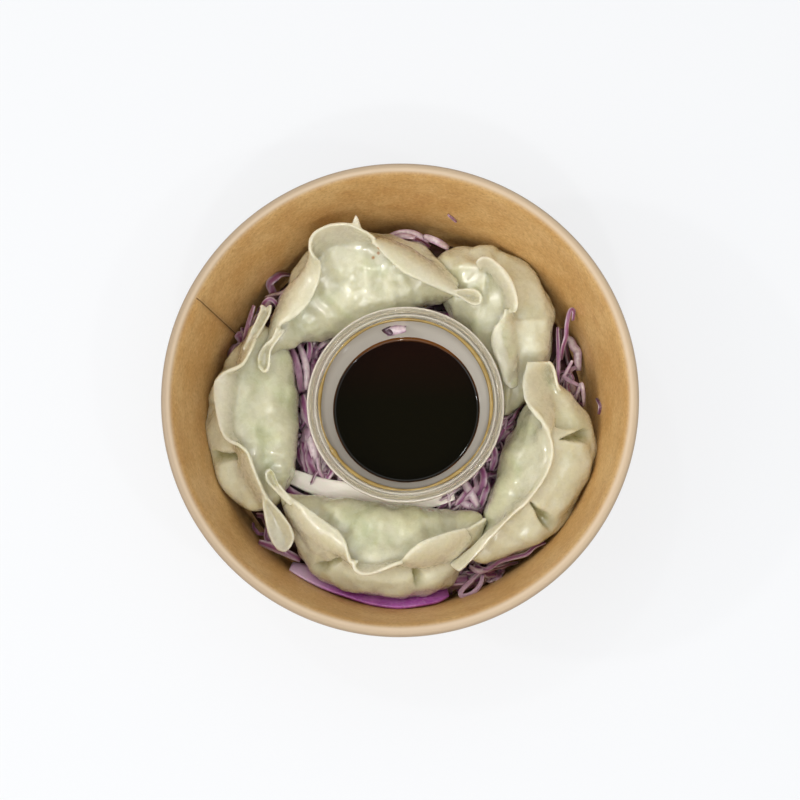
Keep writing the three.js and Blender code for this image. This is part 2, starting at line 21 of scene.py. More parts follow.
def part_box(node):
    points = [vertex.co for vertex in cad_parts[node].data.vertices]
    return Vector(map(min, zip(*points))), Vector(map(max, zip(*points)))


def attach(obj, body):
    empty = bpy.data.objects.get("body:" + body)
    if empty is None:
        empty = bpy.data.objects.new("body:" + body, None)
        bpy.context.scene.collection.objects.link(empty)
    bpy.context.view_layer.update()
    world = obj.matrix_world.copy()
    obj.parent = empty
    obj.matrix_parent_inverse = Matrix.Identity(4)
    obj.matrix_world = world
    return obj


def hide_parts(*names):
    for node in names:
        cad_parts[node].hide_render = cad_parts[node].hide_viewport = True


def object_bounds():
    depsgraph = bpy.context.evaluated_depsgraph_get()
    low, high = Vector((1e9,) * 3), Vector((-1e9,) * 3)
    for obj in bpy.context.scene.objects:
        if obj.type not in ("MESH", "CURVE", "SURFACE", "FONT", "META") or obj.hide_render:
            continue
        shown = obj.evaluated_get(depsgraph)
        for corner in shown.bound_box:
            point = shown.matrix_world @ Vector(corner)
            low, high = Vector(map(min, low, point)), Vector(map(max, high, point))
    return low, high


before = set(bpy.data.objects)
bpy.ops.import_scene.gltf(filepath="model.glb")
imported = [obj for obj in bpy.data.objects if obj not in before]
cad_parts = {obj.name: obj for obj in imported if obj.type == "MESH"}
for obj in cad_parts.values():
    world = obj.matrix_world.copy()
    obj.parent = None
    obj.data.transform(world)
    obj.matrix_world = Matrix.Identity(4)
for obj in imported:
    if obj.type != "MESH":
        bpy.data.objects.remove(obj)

CAD_BOX = [list(corner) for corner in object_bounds()]

bl_info = {
    "name": "Bowl of edamame dumplings",
    "version": (1, 0, 0),
    "blender": (4, 5, 0),
    "location": "View3D > Sidebar > Dumpling bowl",
    "description": "Makes a paper bowl of folded dumplings with cabbage and a cup of soy sauce",
    "category": "Add Mesh",
}

MM = 0.001
ROUND = 2 * math.pi
UP = Vector((0, 0, 1))


# Small sums

def clamp(value, low=0.0, high=1.0):
    return min(high, max(low, value))


def mix(a, b, k):
    return a + (b - a) * k


def ease(k):
    k = clamp(k)
    return k * k * (3 - 2 * k)


def linear(code):
    """Linear colour with full alpha from an sRGB hex code."""
    parts = [int(code[n:n + 2], 16) / 255 for n in (0, 2, 4)]
    return [p / 12.92 if p <= 0.04045 else ((p + 0.055) / 1.055) ** 2.4 for p in parts] + [1.0]


def between(rows, t):
    """Values of (place, values...) rows at place t, on the smooth line through them."""
    places = [row[0] for row in rows]
    at = min(max(bisect_right(places, t) - 1, 0), len(rows) - 2)
    span = places[at + 1] - places[at]
    k = clamp((t - places[at]) / span)

    def slopes(n):
        low, high = max(n - 1, 0), min(n + 1, len(rows) - 1)
        stretch = span / (places[high] - places[low])
        return [(b - a) * stretch for a, b in zip(rows[low][1:], rows[high][1:])]

    start, end = rows[at][1:], rows[at + 1][1:]
    rise = k * k * (3 - 2 * k)
    lead = k * (k - 1) ** 2
    tail = k * k * (k - 1)
    return [a + (b - a) * rise + m * lead + n * tail
            for a, b, m, n in zip(start, end, slopes(at), slopes(at + 1))]


# Mesh making

def lay_grid(bm, point, steps, sides, mark=None):
    """A grid whose corner at t along and v across, both from 0 to 1, lies at point(t, v)."""
    made = bmesh.ops.create_grid(bm, x_segments=steps, y_segments=sides, size=1.0)
    for vert in made["verts"]:
        u, v = (vert.co.x + 1) / 2, (vert.co.y + 1) / 2
        vert.co = point(u, v)
        if mark:
            mark(vert, u, v)


def lay_sheet(bm, middle, half, steps, cuts, mark=None):
    """Closed skin of a bent sheet. middle(t, k) is a point of it and the way out of its face."""
    last = steps + 2
    sides = 2 * cuts + 2

    def across(v):
        n = round(v * sides) % sides
        front = n <= cuts
        return (n if front else sides - 1 - n) / cuts, 1 if front else -1

    def point(u, v):
        step = round(u * last)
        t = clamp((step - 1) / steps)
        k, way = across(v)
        spot, face = middle(t, k)
        thick = 0 if step in (0, last) else half(t, k)
        return spot + face * (thick * way)

    lay_grid(bm, point, last, sides, mark and (lambda vert, u, v: mark(vert, across(v)[0])))


def turn_profile(bm, profile, steps, centre=(0.0, 0.0)):
    """A solid of revolution about the upright axis at centre, from (radius, height) points."""
    x, y = centre
    verts = [bm.verts.new((x + r, y, z)) for r, z in profile]
    edges = [bm.edges.new(pair) for pair in zip(verts, verts[1:])]
    bmesh.ops.spin(bm, geom=verts + edges, cent=(x, y, 0), axis=(0, 0, 1), angle=ROUND,
                   steps=steps, use_merge=True)
    bmesh.ops.remove_doubles(bm, verts=bm.verts, dist=1e-4)
    bmesh.ops.recalc_face_normals(bm, faces=bm.faces)


def arc(centre, radius, start, end, count):
    """Profile points on a round stretch, from start to end in degrees."""
    angles = [math.radians(mix(start, end, n / (count - 1))) for n in range(count)]
    return [(centre[0] + radius * math.cos(a), centre[1] + radius * math.sin(a)) for a in angles]


def melt(bm, voxel):
    """Puts one skin of even faces round all the closed shells in bm."""
    mesh = bpy.data.meshes.new("shells")
    bm.to_mesh(mesh)
    shells = bpy.data.objects.new("shells", mesh)
    bpy.context.scene.collection.objects.link(shells)
    skin = shells.modifiers.new("skin", "REMESH")
    skin.mode = "VOXEL"
    skin.voxel_size = voxel
    graph = bpy.context.evaluated_depsgraph_get()
    melted = bpy.data.meshes.new_from_object(shells.evaluated_get(graph))
    bm.clear()
    bm.from_mesh(melted)
    bpy.data.objects.remove(shells)
    bpy.data.meshes.remove(mesh)
    bpy.data.meshes.remove(melted)


def smooth(bm, rounds, factor=0.5, verts=None):
    for _ in range(rounds):
        bmesh.ops.smooth_vert(bm, verts=verts or bm.verts, factor=factor,
                              use_axis_x=True, use_axis_y=True, use_axis_z=True)


def finish_piece(name, bm, material, stands_for=()):
    """Turns a bmesh in millimetres into a finished object that rides on the bowl."""
    bmesh.ops.scale(bm, vec=Vector((MM, MM, MM)), verts=bm.verts)
    mesh = bpy.data.meshes.new(name)
    bm.to_mesh(mesh)
    bm.free()
    mesh.shade_smooth()
    mesh.materials.append(material)
    piece = bpy.data.objects.new(name, mesh)
    bpy.context.scene.collection.objects.link(piece)
    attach(piece, "root")
    if stands_for:
        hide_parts(*stands_for)
    return piece


# Material making

def per_mm(size):
    """Texture scale that makes a pattern's features about size millimetres wide."""
    return 1 / (size * MM)


def add_node(tree, kind, inputs=(), output=0, **settings):
    """Adds a node with its settings, and its inputs as values or as sockets to link from."""
    made = tree.nodes.new(f"ShaderNode{kind}")
    for name, value in settings.items():
        setattr(made, name, value)
    for name, value in inputs.items() if isinstance(inputs, dict) else enumerate(inputs):
        if isinstance(value, bpy.types.NodeSocket):
            tree.links.new(value, made.inputs[name])
        else:
            made.inputs[name].default_value = value
    return made.outputs[output] if made.outputs else made


def new_material(name, *grains):
    """A bare material with its node adder, its Object coordinates and its soft noises.

    A noise is given by the width of its features in millimetres, its detail and its roughness.
    """
    material = bpy.data.materials.new(name)
    material.use_nodes = True
    material.node_tree.nodes.clear()
    node = partial(add_node, material.node_tree)
    place = node("TexCoord", output="Object")
    noises = [node("TexNoise", {"Vector": place, "Scale": per_mm(size), "Detail": detail, "Roughness": rough})
              for size, detail, rough in grains]
    return material, node, place, noises


def paint(node, tone, *coats):
    """Lays coats of (share, colour) over a tone, with a share worked out from its range if it has one."""
    for share, colour in coats:
        share = node("MapRange", share) if isinstance(share, tuple) else share
        tone, colour = (linear(code) if isinstance(code, str) else code for code in (tone, colour))
        tone = node("Mix", {0: share, 6: tone, 7: colour}, 2, data_type="RGBA")
    return tone


def relief(node, *layers):
    """Relief laid up from layers of (pattern, depth in millimetres), the lowest first."""
    under = {}
    for pattern, depth in layers:
        under = {"Normal": node("Bump", {"Height": pattern, "Distance": depth * MM, **under})}
    return under["Normal"]


def apart(node, a, b):
    """How far two values lie apart."""
    return node("Math", (node("Math", (a, b), operation="SUBTRACT"),), operation="ABSOLUTE")


def from_axis(node, place, centre=(0.0, 0.0)):
    """Distance from the upright axis through centre, which is in millimetres."""
    flat = node("VectorMath", (place, (1, 1, 0)), operation="MULTIPLY")
    return node("VectorMath", (flat, (centre[0] * MM, centre[1] * MM, 0)), "Value", operation="DISTANCE")


# Values that a user may change

def length(name, description, default):
    return FloatProperty(name=name, description=description, default=default, unit="LENGTH", precision=5)


def colour(name, description, code):
    return FloatVectorProperty(name=name, description=description, default=linear(code), size=4,
                               subtype="COLOR", min=0, max=1)


# Paper bowl

SEAM_ANGLE = math.radians(154.1)
SEAM_OUTSIDE = SEAM_ANGLE + 0.16
SEAM_STEP = 0.35
SEAM_FADE = math.radians(24)
SEAM_GAP = 0.0004
BOWL_STEPS = 240


class PaperBowlSettings(PropertyGroup):
    height: length("Height", "From the table to the top of the rim", CAD_BOX[1][2])
    rim_radius: length("Rim radius", "To the outside of the rolled rim", CAD_BOX[1][0])
    foot_radius: length("Foot radius", "To the outside of the foot ring", 0.064)
    bead_radius: length("Bead radius", "Of the rolled rim's section", 0.0019)
    paper: length("Paper", "Thickness of the paperboard", 0.0009)
    recess: length("Recess", "Height of the raised floor's underside", 0.006)
    kraft: colour("Kraft colour", "Brown of the paperboard", "dbb579")
    # The rim colour is partly the rolled rim's own rubbed tone and partly painted light on the bead's top.
    rim: colour("Rim colour", "Pale rubbed brown of the rolled rim", "a99479")


def wall_radius(settings, z):
    """Outer radius of the tapered wall at height z, in millimetres."""
    foot = settings.foot_radius / MM
    top = (settings.rim_radius - 2 * settings.bead_radius + settings.paper) / MM
    return mix(foot, top, z * MM / settings.height)


def cut_end(node, angle, radius, place, low, high):
    """1 along the overlap's edge, from low to high millimetres past it, and 0 beside that."""
    past = node("Math", (angle, place), operation="SUBTRACT")
    along = node("Math", (past, radius), operation="MULTIPLY")
    half = (high - low) / 2 * MM
    return node("MapRange", (apart(node, along, (low + high) / 2 * MM), half, half + 0.12 * MM, 1, 0))


def kraft_paperboard(settings):
    """Kraft paperboard, calendered and lined.

    Ochre blotches, short fibres and a satin lining. The rolled rim is painted pale, partly its own rubbed
    tone
    and partly painted light: lighter towards +X, with a painted highlight line along its inner side and
    painted shade at its outer edge. The blank's cut end is a paler line beside a thin dark line of painted
    shadow under its step.
    """
    material, node, place, (blotch, stain, grain) = new_material(
        "kraft paperboard", (16, 4, 0.55), (6.5, 3, 0.55), (1.1, 4, 0.7))
    stretched = node("Mapping", {"Vector": place, "Scale": (1, 1, 3.5)})
    fibre = node("TexNoise", {"Vector": stretched, "Scale": per_mm(1.6), "Detail": 6, "Roughness": 0.7})
    x, y, height = (node("SeparateXYZ", (place,), way) for way in "XYZ")
    radius = from_axis(node, place)
    angle = node("Math", (y, x), operation="ARCTAN2")
    edge, top = settings.rim_radius, settings.height
    rubbed = node("Math", (node("MapRange", (radius, edge - 3.9 * MM, edge - 2.7 * MM)),
                           node("MapRange", (height, top - 3.2 * MM, top - 2 * MM))), operation="MULTIPLY")
    # Rim tone: partly the rim's own pale rubbed brown, partly painted light, lighter towards +X where more
    # light falls.
    rim_tone_and_light = paint(node, "9c8870", ((x, -edge, edge), "bea78a"), (0.35, settings.rim))
    # Painted highlight: a paler line along the bead's inner side, where it would catch the light.
    shine = node("MapRange", (apart(node, radius, edge - 2.5 * MM), 0.2 * MM, 0.9 * MM, 0.55, 0))
    tone = paint(node, settings.kraft,
                 ((blotch, 0.36, 0.62), "cc9f60"),
                 ((stain, 0.5, 0.66, 0, 0.5), "c39256"),
                 ((fibre, 0.47, 0.66, 0, 0.6), "b88d55"),
                 ((grain, 0.52, 0.68, 0, 0.6), "aa7f49"),
                 ((grain, 0.48, 0.32, 0, 0.45), "e6c58e"),
                 (rubbed, rim_tone_and_light),
                 (node("Math", (shine, rubbed), operation="MULTIPLY"), "c8b397"),
                 # Painted shade: darker at the bead's outer edge, where it turns under.
                 ((radius, edge - 1 * MM, edge - 0.1 * MM, 0, 0.55), "857159"))
    slope = wall_radius(settings, 1) - wall_radius(settings, 0)
    base = wall_radius(settings, 0) * MM - settings.paper / 2
    middle = node("Math", (height, slope, base), operation="MULTIPLY_ADD")
    inside = node("Math", (radius, middle), operation="LESS_THAN")
    outside = node("Math", (1.0, inside), operation="SUBTRACT")
    below = node("MapRange", (height, top - 1.2 * MM, top - 0.6 * MM, 1, 0))
    for share, start in ((inside, SEAM_ANGLE), (outside, SEAM_OUTSIDE)):
        shown = node("Math", (share, below), operation="MULTIPLY")
        # Along the cut end: a thin dark line of painted shadow under the overlap's step, and a paler line for
        # the cut edge beside it.
        for low, high, strength, code in ((-0.12, 0.16, 0.85, "5a3517"), (-0.55, -0.4, 0.4, "e6c99a")):
            line = node("Math", (cut_end(node, angle, radius, start, low, high), shown), operation="MULTIPLY")
            tone = paint(node, tone, ((line, 0, 1, 0, strength), code))
    node("OutputMaterial", {"Surface": node("BsdfPrincipled", {
        "Base Color": tone,
        "Roughness": 0.5,
        "Specular IOR Level": 0.35,
        "Coat Weight": 0.12,
        "Coat Roughness": 0.3,
        "Normal": relief(node, (blotch, 0.12), (fibre, 0.03)),
    })})
    return material


class DUMPLINGBOWL_OT_paper_bowl(Operator):
    """Makes the paper bowl with its rolled rim, foot ring and overlap seam"""
    bl_idname = "dumpling_bowl.paper_bowl"
    bl_label = "Paper bowl"

    def execute(self, context):
        settings = context.scene.paper_bowl
        paper = settings.paper / MM
        bead = settings.bead_radius / MM
        recess = settings.recess / MM
        height = settings.height / MM
        foot = settings.foot_radius / MM
        centre = (settings.rim_radius / MM - bead, height - bead)
        skirt = 2 * paper
        profile = [(0, recess), (foot - skirt - 3, recess)]
        profile += arc((foot - skirt - 1.2, recess - 1), 1, 90, 0, 5)
        profile += arc((foot - skirt + 0.3, 0.3), 0.3, 180, 270, 4)
        profile += arc((foot - 0.3, 0.3), 0.3, 270, 360, 4)
        profile += [(wall_radius(settings, z), z) for z in (2, 6, 12, 20, 30, 40, 48, 53, 55.6)]
        profile += arc(centre, bead, -105, 165, 22)
        profile += [(wall_radius(settings, z) - paper, z) for z in (56.6, 54, 48, 40, 30, 20, 12, 9)]
        profile += arc((wall_radius(settings, recess) - paper - 1.2, recess + paper + 1.2), 1.2, 0, -90, 5)
        profile += [(foot - 12, recess + paper), (0, recess + paper)]
        bm = bmesh.new()
        turn_profile(bm, profile, BOWL_STEPS)
        self.overlap(bm, settings, paper)
        finish_piece("paper_bowl", bm, kraft_paperboard(settings), ["bowl"])
        return {"FINISHED"}

    def overlap(self, bm, settings, paper):
        """The blank's end lies over its start: a low step inside, and one outside a little further."""
        column = ROUND / BOWL_STEPS
        for vert in bm.verts:
            x, y, z = vert.co
            radius = math.hypot(x, y)
            if radius < wall_radius(settings, z) - 3 * paper or not 8 < z < 56.7:
                continue
            inside = radius < wall_radius(settings, z) - paper / 2
            start = SEAM_ANGLE if inside else SEAM_OUTSIDE
            past = (math.atan2(y, x) - start) % ROUND
            angle = math.atan2(y, x)
            if past < column:
                angle = start + SEAM_GAP
            elif past > ROUND - column:
                angle = start - SEAM_GAP
            fade = 1 - ease(past / SEAM_FADE)
            radius += SEAM_STEP * fade * (-1 if inside else 0.6)
            vert.co = Vector((radius * math.cos(angle), radius * math.sin(angle), z))


# Sauce cup and soy sauce

class SauceCupSettings(PropertyGroup):
    radius: length("Flange radius", "To the outside of the flange", 0.0321)
    mouth: length("Mouth radius", "Of the inside, under the flange", 0.028)
    foot: length("Foot radius", "Of the cup's foot", 0.0206)
    wall: length("Wall", "Thickness of the moulded wall", 0.0008)
    level: length("Sauce level", "Height of the sauce's surface", 0.028)
    plastic: colour("Plastic colour", "Milky tint of the clear cup", "e4ddd0")
    sauce: colour("Sauce colour", "Near black of deep soy sauce", "0b0902")


CUP_LOW, CUP_HIGH = [Vector(corner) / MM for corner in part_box("sauce_cup")]
CUP_CENTRE = ((CUP_LOW.x + CUP_HIGH.x) / 2, (CUP_LOW.y + CUP_HIGH.y) / 2)
CUP_BASE = CUP_LOW.z
CUP_TOP = CUP_HIGH.z
CUP_STEPS = 360
POOL_STEPS = 160
FILM_DROP = 1.35
SPLASH_ANGLE = math.radians(-146)
SPLASH_SIZE = 0.9
RIB_MILK = (0.55, 0.35, 0.45)


def cup_radius(settings, z):
    """Outer radius of the cup's tapered wall at height z, in millimetres."""
    foot = settings.foot / MM
    mouth = (settings.mouth + settings.wall) / MM
    return mix(foot, mouth, (z - CUP_BASE) / (CUP_TOP - 2.2 - CUP_BASE))


def clear_polypropylene(settings):
    """Clear polypropylene, moulded: milky down its wall and along its ribs, clear between them."""
    material, node, place, (streak,) = new_material("clear polypropylene", (6, 2, 0.55))
    height = node("SeparateXYZ", (place,), "Z")
    away = from_axis(node, place, CUP_CENTRE)
    clear = node("MapRange", (height, (CUP_TOP - 3.4) * MM, (CUP_TOP - 1.8) * MM, 0.25, 0.93))
    ribs = (settings.radius - 0.3 * MM, settings.radius - 2.75 * MM, settings.mouth)
    for radius, milk in zip(ribs, RIB_MILK):
        rib = node("MapRange", (apart(node, away, radius), 0.15 * MM, 0.45 * MM, 1 - milk, 1))
        clear = node("Math", (clear, rib), operation="MULTIPLY")
    node("OutputMaterial", {"Surface": node("BsdfPrincipled", {
        "Base Color": paint(node, settings.plastic, ((clear, 0.5, 0.9), "faf4e0")),
        "Roughness": 0.13,
        "IOR": 1.38,
        "Transmission Weight": clear,
        "Normal": relief(node, (streak, 0.02)),
    })})
    return material


def soy_sauce(settings):
    """Soy sauce: black where it is deep, amber brown where it thins out at the wall, mirror smooth."""
    material, node, place, (patch,) = new_material("soy sauce", (7, 2, 0.55))
    far = node("SeparateXYZ", (place,), "Y")
    thin = node("MapRange", (far, 14 * MM, 22 * MM, 0, 0.9 * MM))
    away = node("Math", (from_axis(node, place, CUP_CENTRE), thin), operation="ADD")
    uneven = node("Math", (patch, 0.8 * MM, away), operation="MULTIPLY_ADD")
    edge = cup_radius(settings, settings.level / MM) * MM - settings.wall
    node("OutputMaterial", {"Surface": node("BsdfPrincipled", {
        "Base Color": paint(node, settings.sauce, ((far, 2 * MM, 22 * MM), "170804"),
                            ((uneven, edge + 0.1 * MM, edge + 0.9 * MM), "63390f")),
        "Roughness": 0.04,
        "IOR": 1.36,
    })})
    return material


def dried_sauce():
    """Dried soy sauce: a thin amber film left where the sauce stood or splashed."""
    material, node, _, (patchy,) = new_material("dried soy sauce", (5, 3, 0.55))
    node("OutputMaterial", {"Surface": node("BsdfPrincipled", {
        "Base Color": paint(node, "846a30", ((patchy, 0.35, 0.7), "9d8347")),
        "Roughness": 0.25,
    })})
    return material


class DUMPLINGBOWL_OT_sauce_cup(Operator):
    """Makes the clear sauce cup with its ribbed flange, and the film of sauce on it"""
    bl_idname = "dumpling_bowl.sauce_cup"
    bl_label = "Sauce cup"

    def execute(self, context):
        settings = context.scene.sauce_cup
        foot = settings.foot / MM
        lip = settings.radius / MM
        mouth = settings.mouth / MM
        wall = settings.wall / MM
        base, top = CUP_BASE, CUP_TOP

        def inner(z):
            return cup_radius(settings, z) - wall

        profile = [(0, base + 0.5), (foot - 3, base + 0.5), (foot - 2.3, base + 0.1)]
        profile += arc((foot - 1.5, base + 0.5), 0.5, 250, 300, 3)
        profile += arc((cup_radius(settings, base + 1.4) - 0.9, base + 1.4), 0.9, -60, 0, 4)
        profile += [(cup_radius(settings, z), z) for z in (base + 8, base + 16, base + 24, top - 3.4)]
        profile += arc((mouth + wall + 0.9, top - 3), 0.7, 180, 90, 4)
        profile += [(lip - 1.8, top - 2.3), (lip - 1.0, top - 2.5)]
        profile += [(lip - 0.8, top - 3.6), (lip - 0.15, top - 3.6), (lip - 0.02, top - 3.3)]
        profile += arc((lip - 0.7, top - 0.7), 0.7, 0, 120, 7)
        profile += [(lip - 1.5, top - 0.5), (lip - 1.9, top - 0.95), (lip - 2.3, top - 0.9)]
        profile += arc((lip - 2.75, top - 0.75), 0.33, 20, 160, 5)
        profile += [(lip - 3.3, top - 0.95), (lip - 3.6, top - 1.0)]
        profile += arc((mouth + 0.1, top - 1.75), 0.55, 75, 170, 5)
        profile += [(inner(top - 3), top - 3), (inner(top - 8), top - 8)]
        profile += [(inner(z), z) for z in (28.6, 22, base + 2.6)]
        profile += arc((inner(base + 2.4) - 1, base + 2.3), 1, 0, -90, 5)
        profile += [(foot - 4, base + 1.3), (0, base + 1.3)]
        bm = bmesh.new()
        turn_profile(bm, profile, CUP_STEPS, CUP_CENTRE)
        finish_piece("sauce_cup_clear", bm, clear_polypropylene(settings), ["sauce_cup"])
        self.film(settings, mouth, top)
        return {"FINISHED"}

    def film(self, settings, mouth, top):
        """An uneven ring of dried sauce just inside the flange."""
        bm = bmesh.new()
        ring = arc((mouth, top - FILM_DROP), 0.62, 0, 360, 9)
        turn_profile(bm, ring, POOL_STEPS, CUP_CENTRE)
        for vert in bm.verts:
            away = vert.co - Vector((*CUP_CENTRE, 0))
            turn = math.atan2(away.y, away.x)
            swell = 0.8 + 0.7 * noise.noise(Vector((math.cos(turn), math.sin(turn), 0.3)) * 2.1)
            swell += SPLASH_SIZE * math.exp(-((turn - SPLASH_ANGLE) / 0.05) ** 2)
            flat = Vector((away.x, away.y, 0)).normalized() * mouth
            spine = Vector((*CUP_CENTRE, top - FILM_DROP)) + flat
            vert.co = spine + (vert.co - spine) * clamp(swell, 0.45, 2.6)
        finish_piece("sauce_film", bm, dried_sauce())


class DUMPLINGBOWL_OT_soy_sauce(Operator):
    """Makes the soy sauce, up to its level, reaching just into the cup's wall"""
    bl_idname = "dumpling_bowl.soy_sauce"
    bl_label = "Soy sauce"

    def execute(self, context):
        settings = context.scene.sauce_cup
        wall = settings.wall / MM
        level = settings.level / MM
        bite = 0.15

        def reach(z):
            return cup_radius(settings, z) - wall + bite

        profile = [(0, CUP_BASE + 1.3 - bite), (settings.foot / MM - 3.4, CUP_BASE + 1.3 - bite)]
        profile += [(reach(z), z) for z in (CUP_BASE + 3, 20, 24, level, level + 0.75)]
        climb = [(0.16, 0.6), (0.26, 0.42), (0.4, 0.24), (0.55, 0.11), (0.75, 0.03), (1, 0)]
        profile += [(reach(level) - away, level + rise) for away, rise in climb]
        profile += [(r, level) for r in (16, 8, 0)]
        bm = bmesh.new()
        turn_profile(bm, profile, POOL_STEPS, CUP_CENTRE)
        finish_piece("soy_sauce_pool", bm, soy_sauce(settings), ["soy_sauce"])
        return {"FINISHED"}


# Dumplings
# stations go from one tip to the other:
# (seam x, y, z, inner edge x, y, outer edge x, y, underside z).
# frills: stretches of rows (place along the seam, free edge x, y, z, height of its bow, how far its
# root lies behind the seam).
# dip: how much deeper a frill's root lies for each millimetre behind the seam.
# ripple: how high the filled side ripples under its wrapper.
# pleats: (place, depth, width as a share of the seam).
# folds: hollows beside a fold (start x, y, z), (foot x, y, z), half width, depth, which side is
# steep, and the share of the width that it has at its start.
# ends: open ends, where one layer of dough stands round like a ribbon (edge x, y, z, root x, y, z,
# how far it bows up).
# specks: small brown spots.

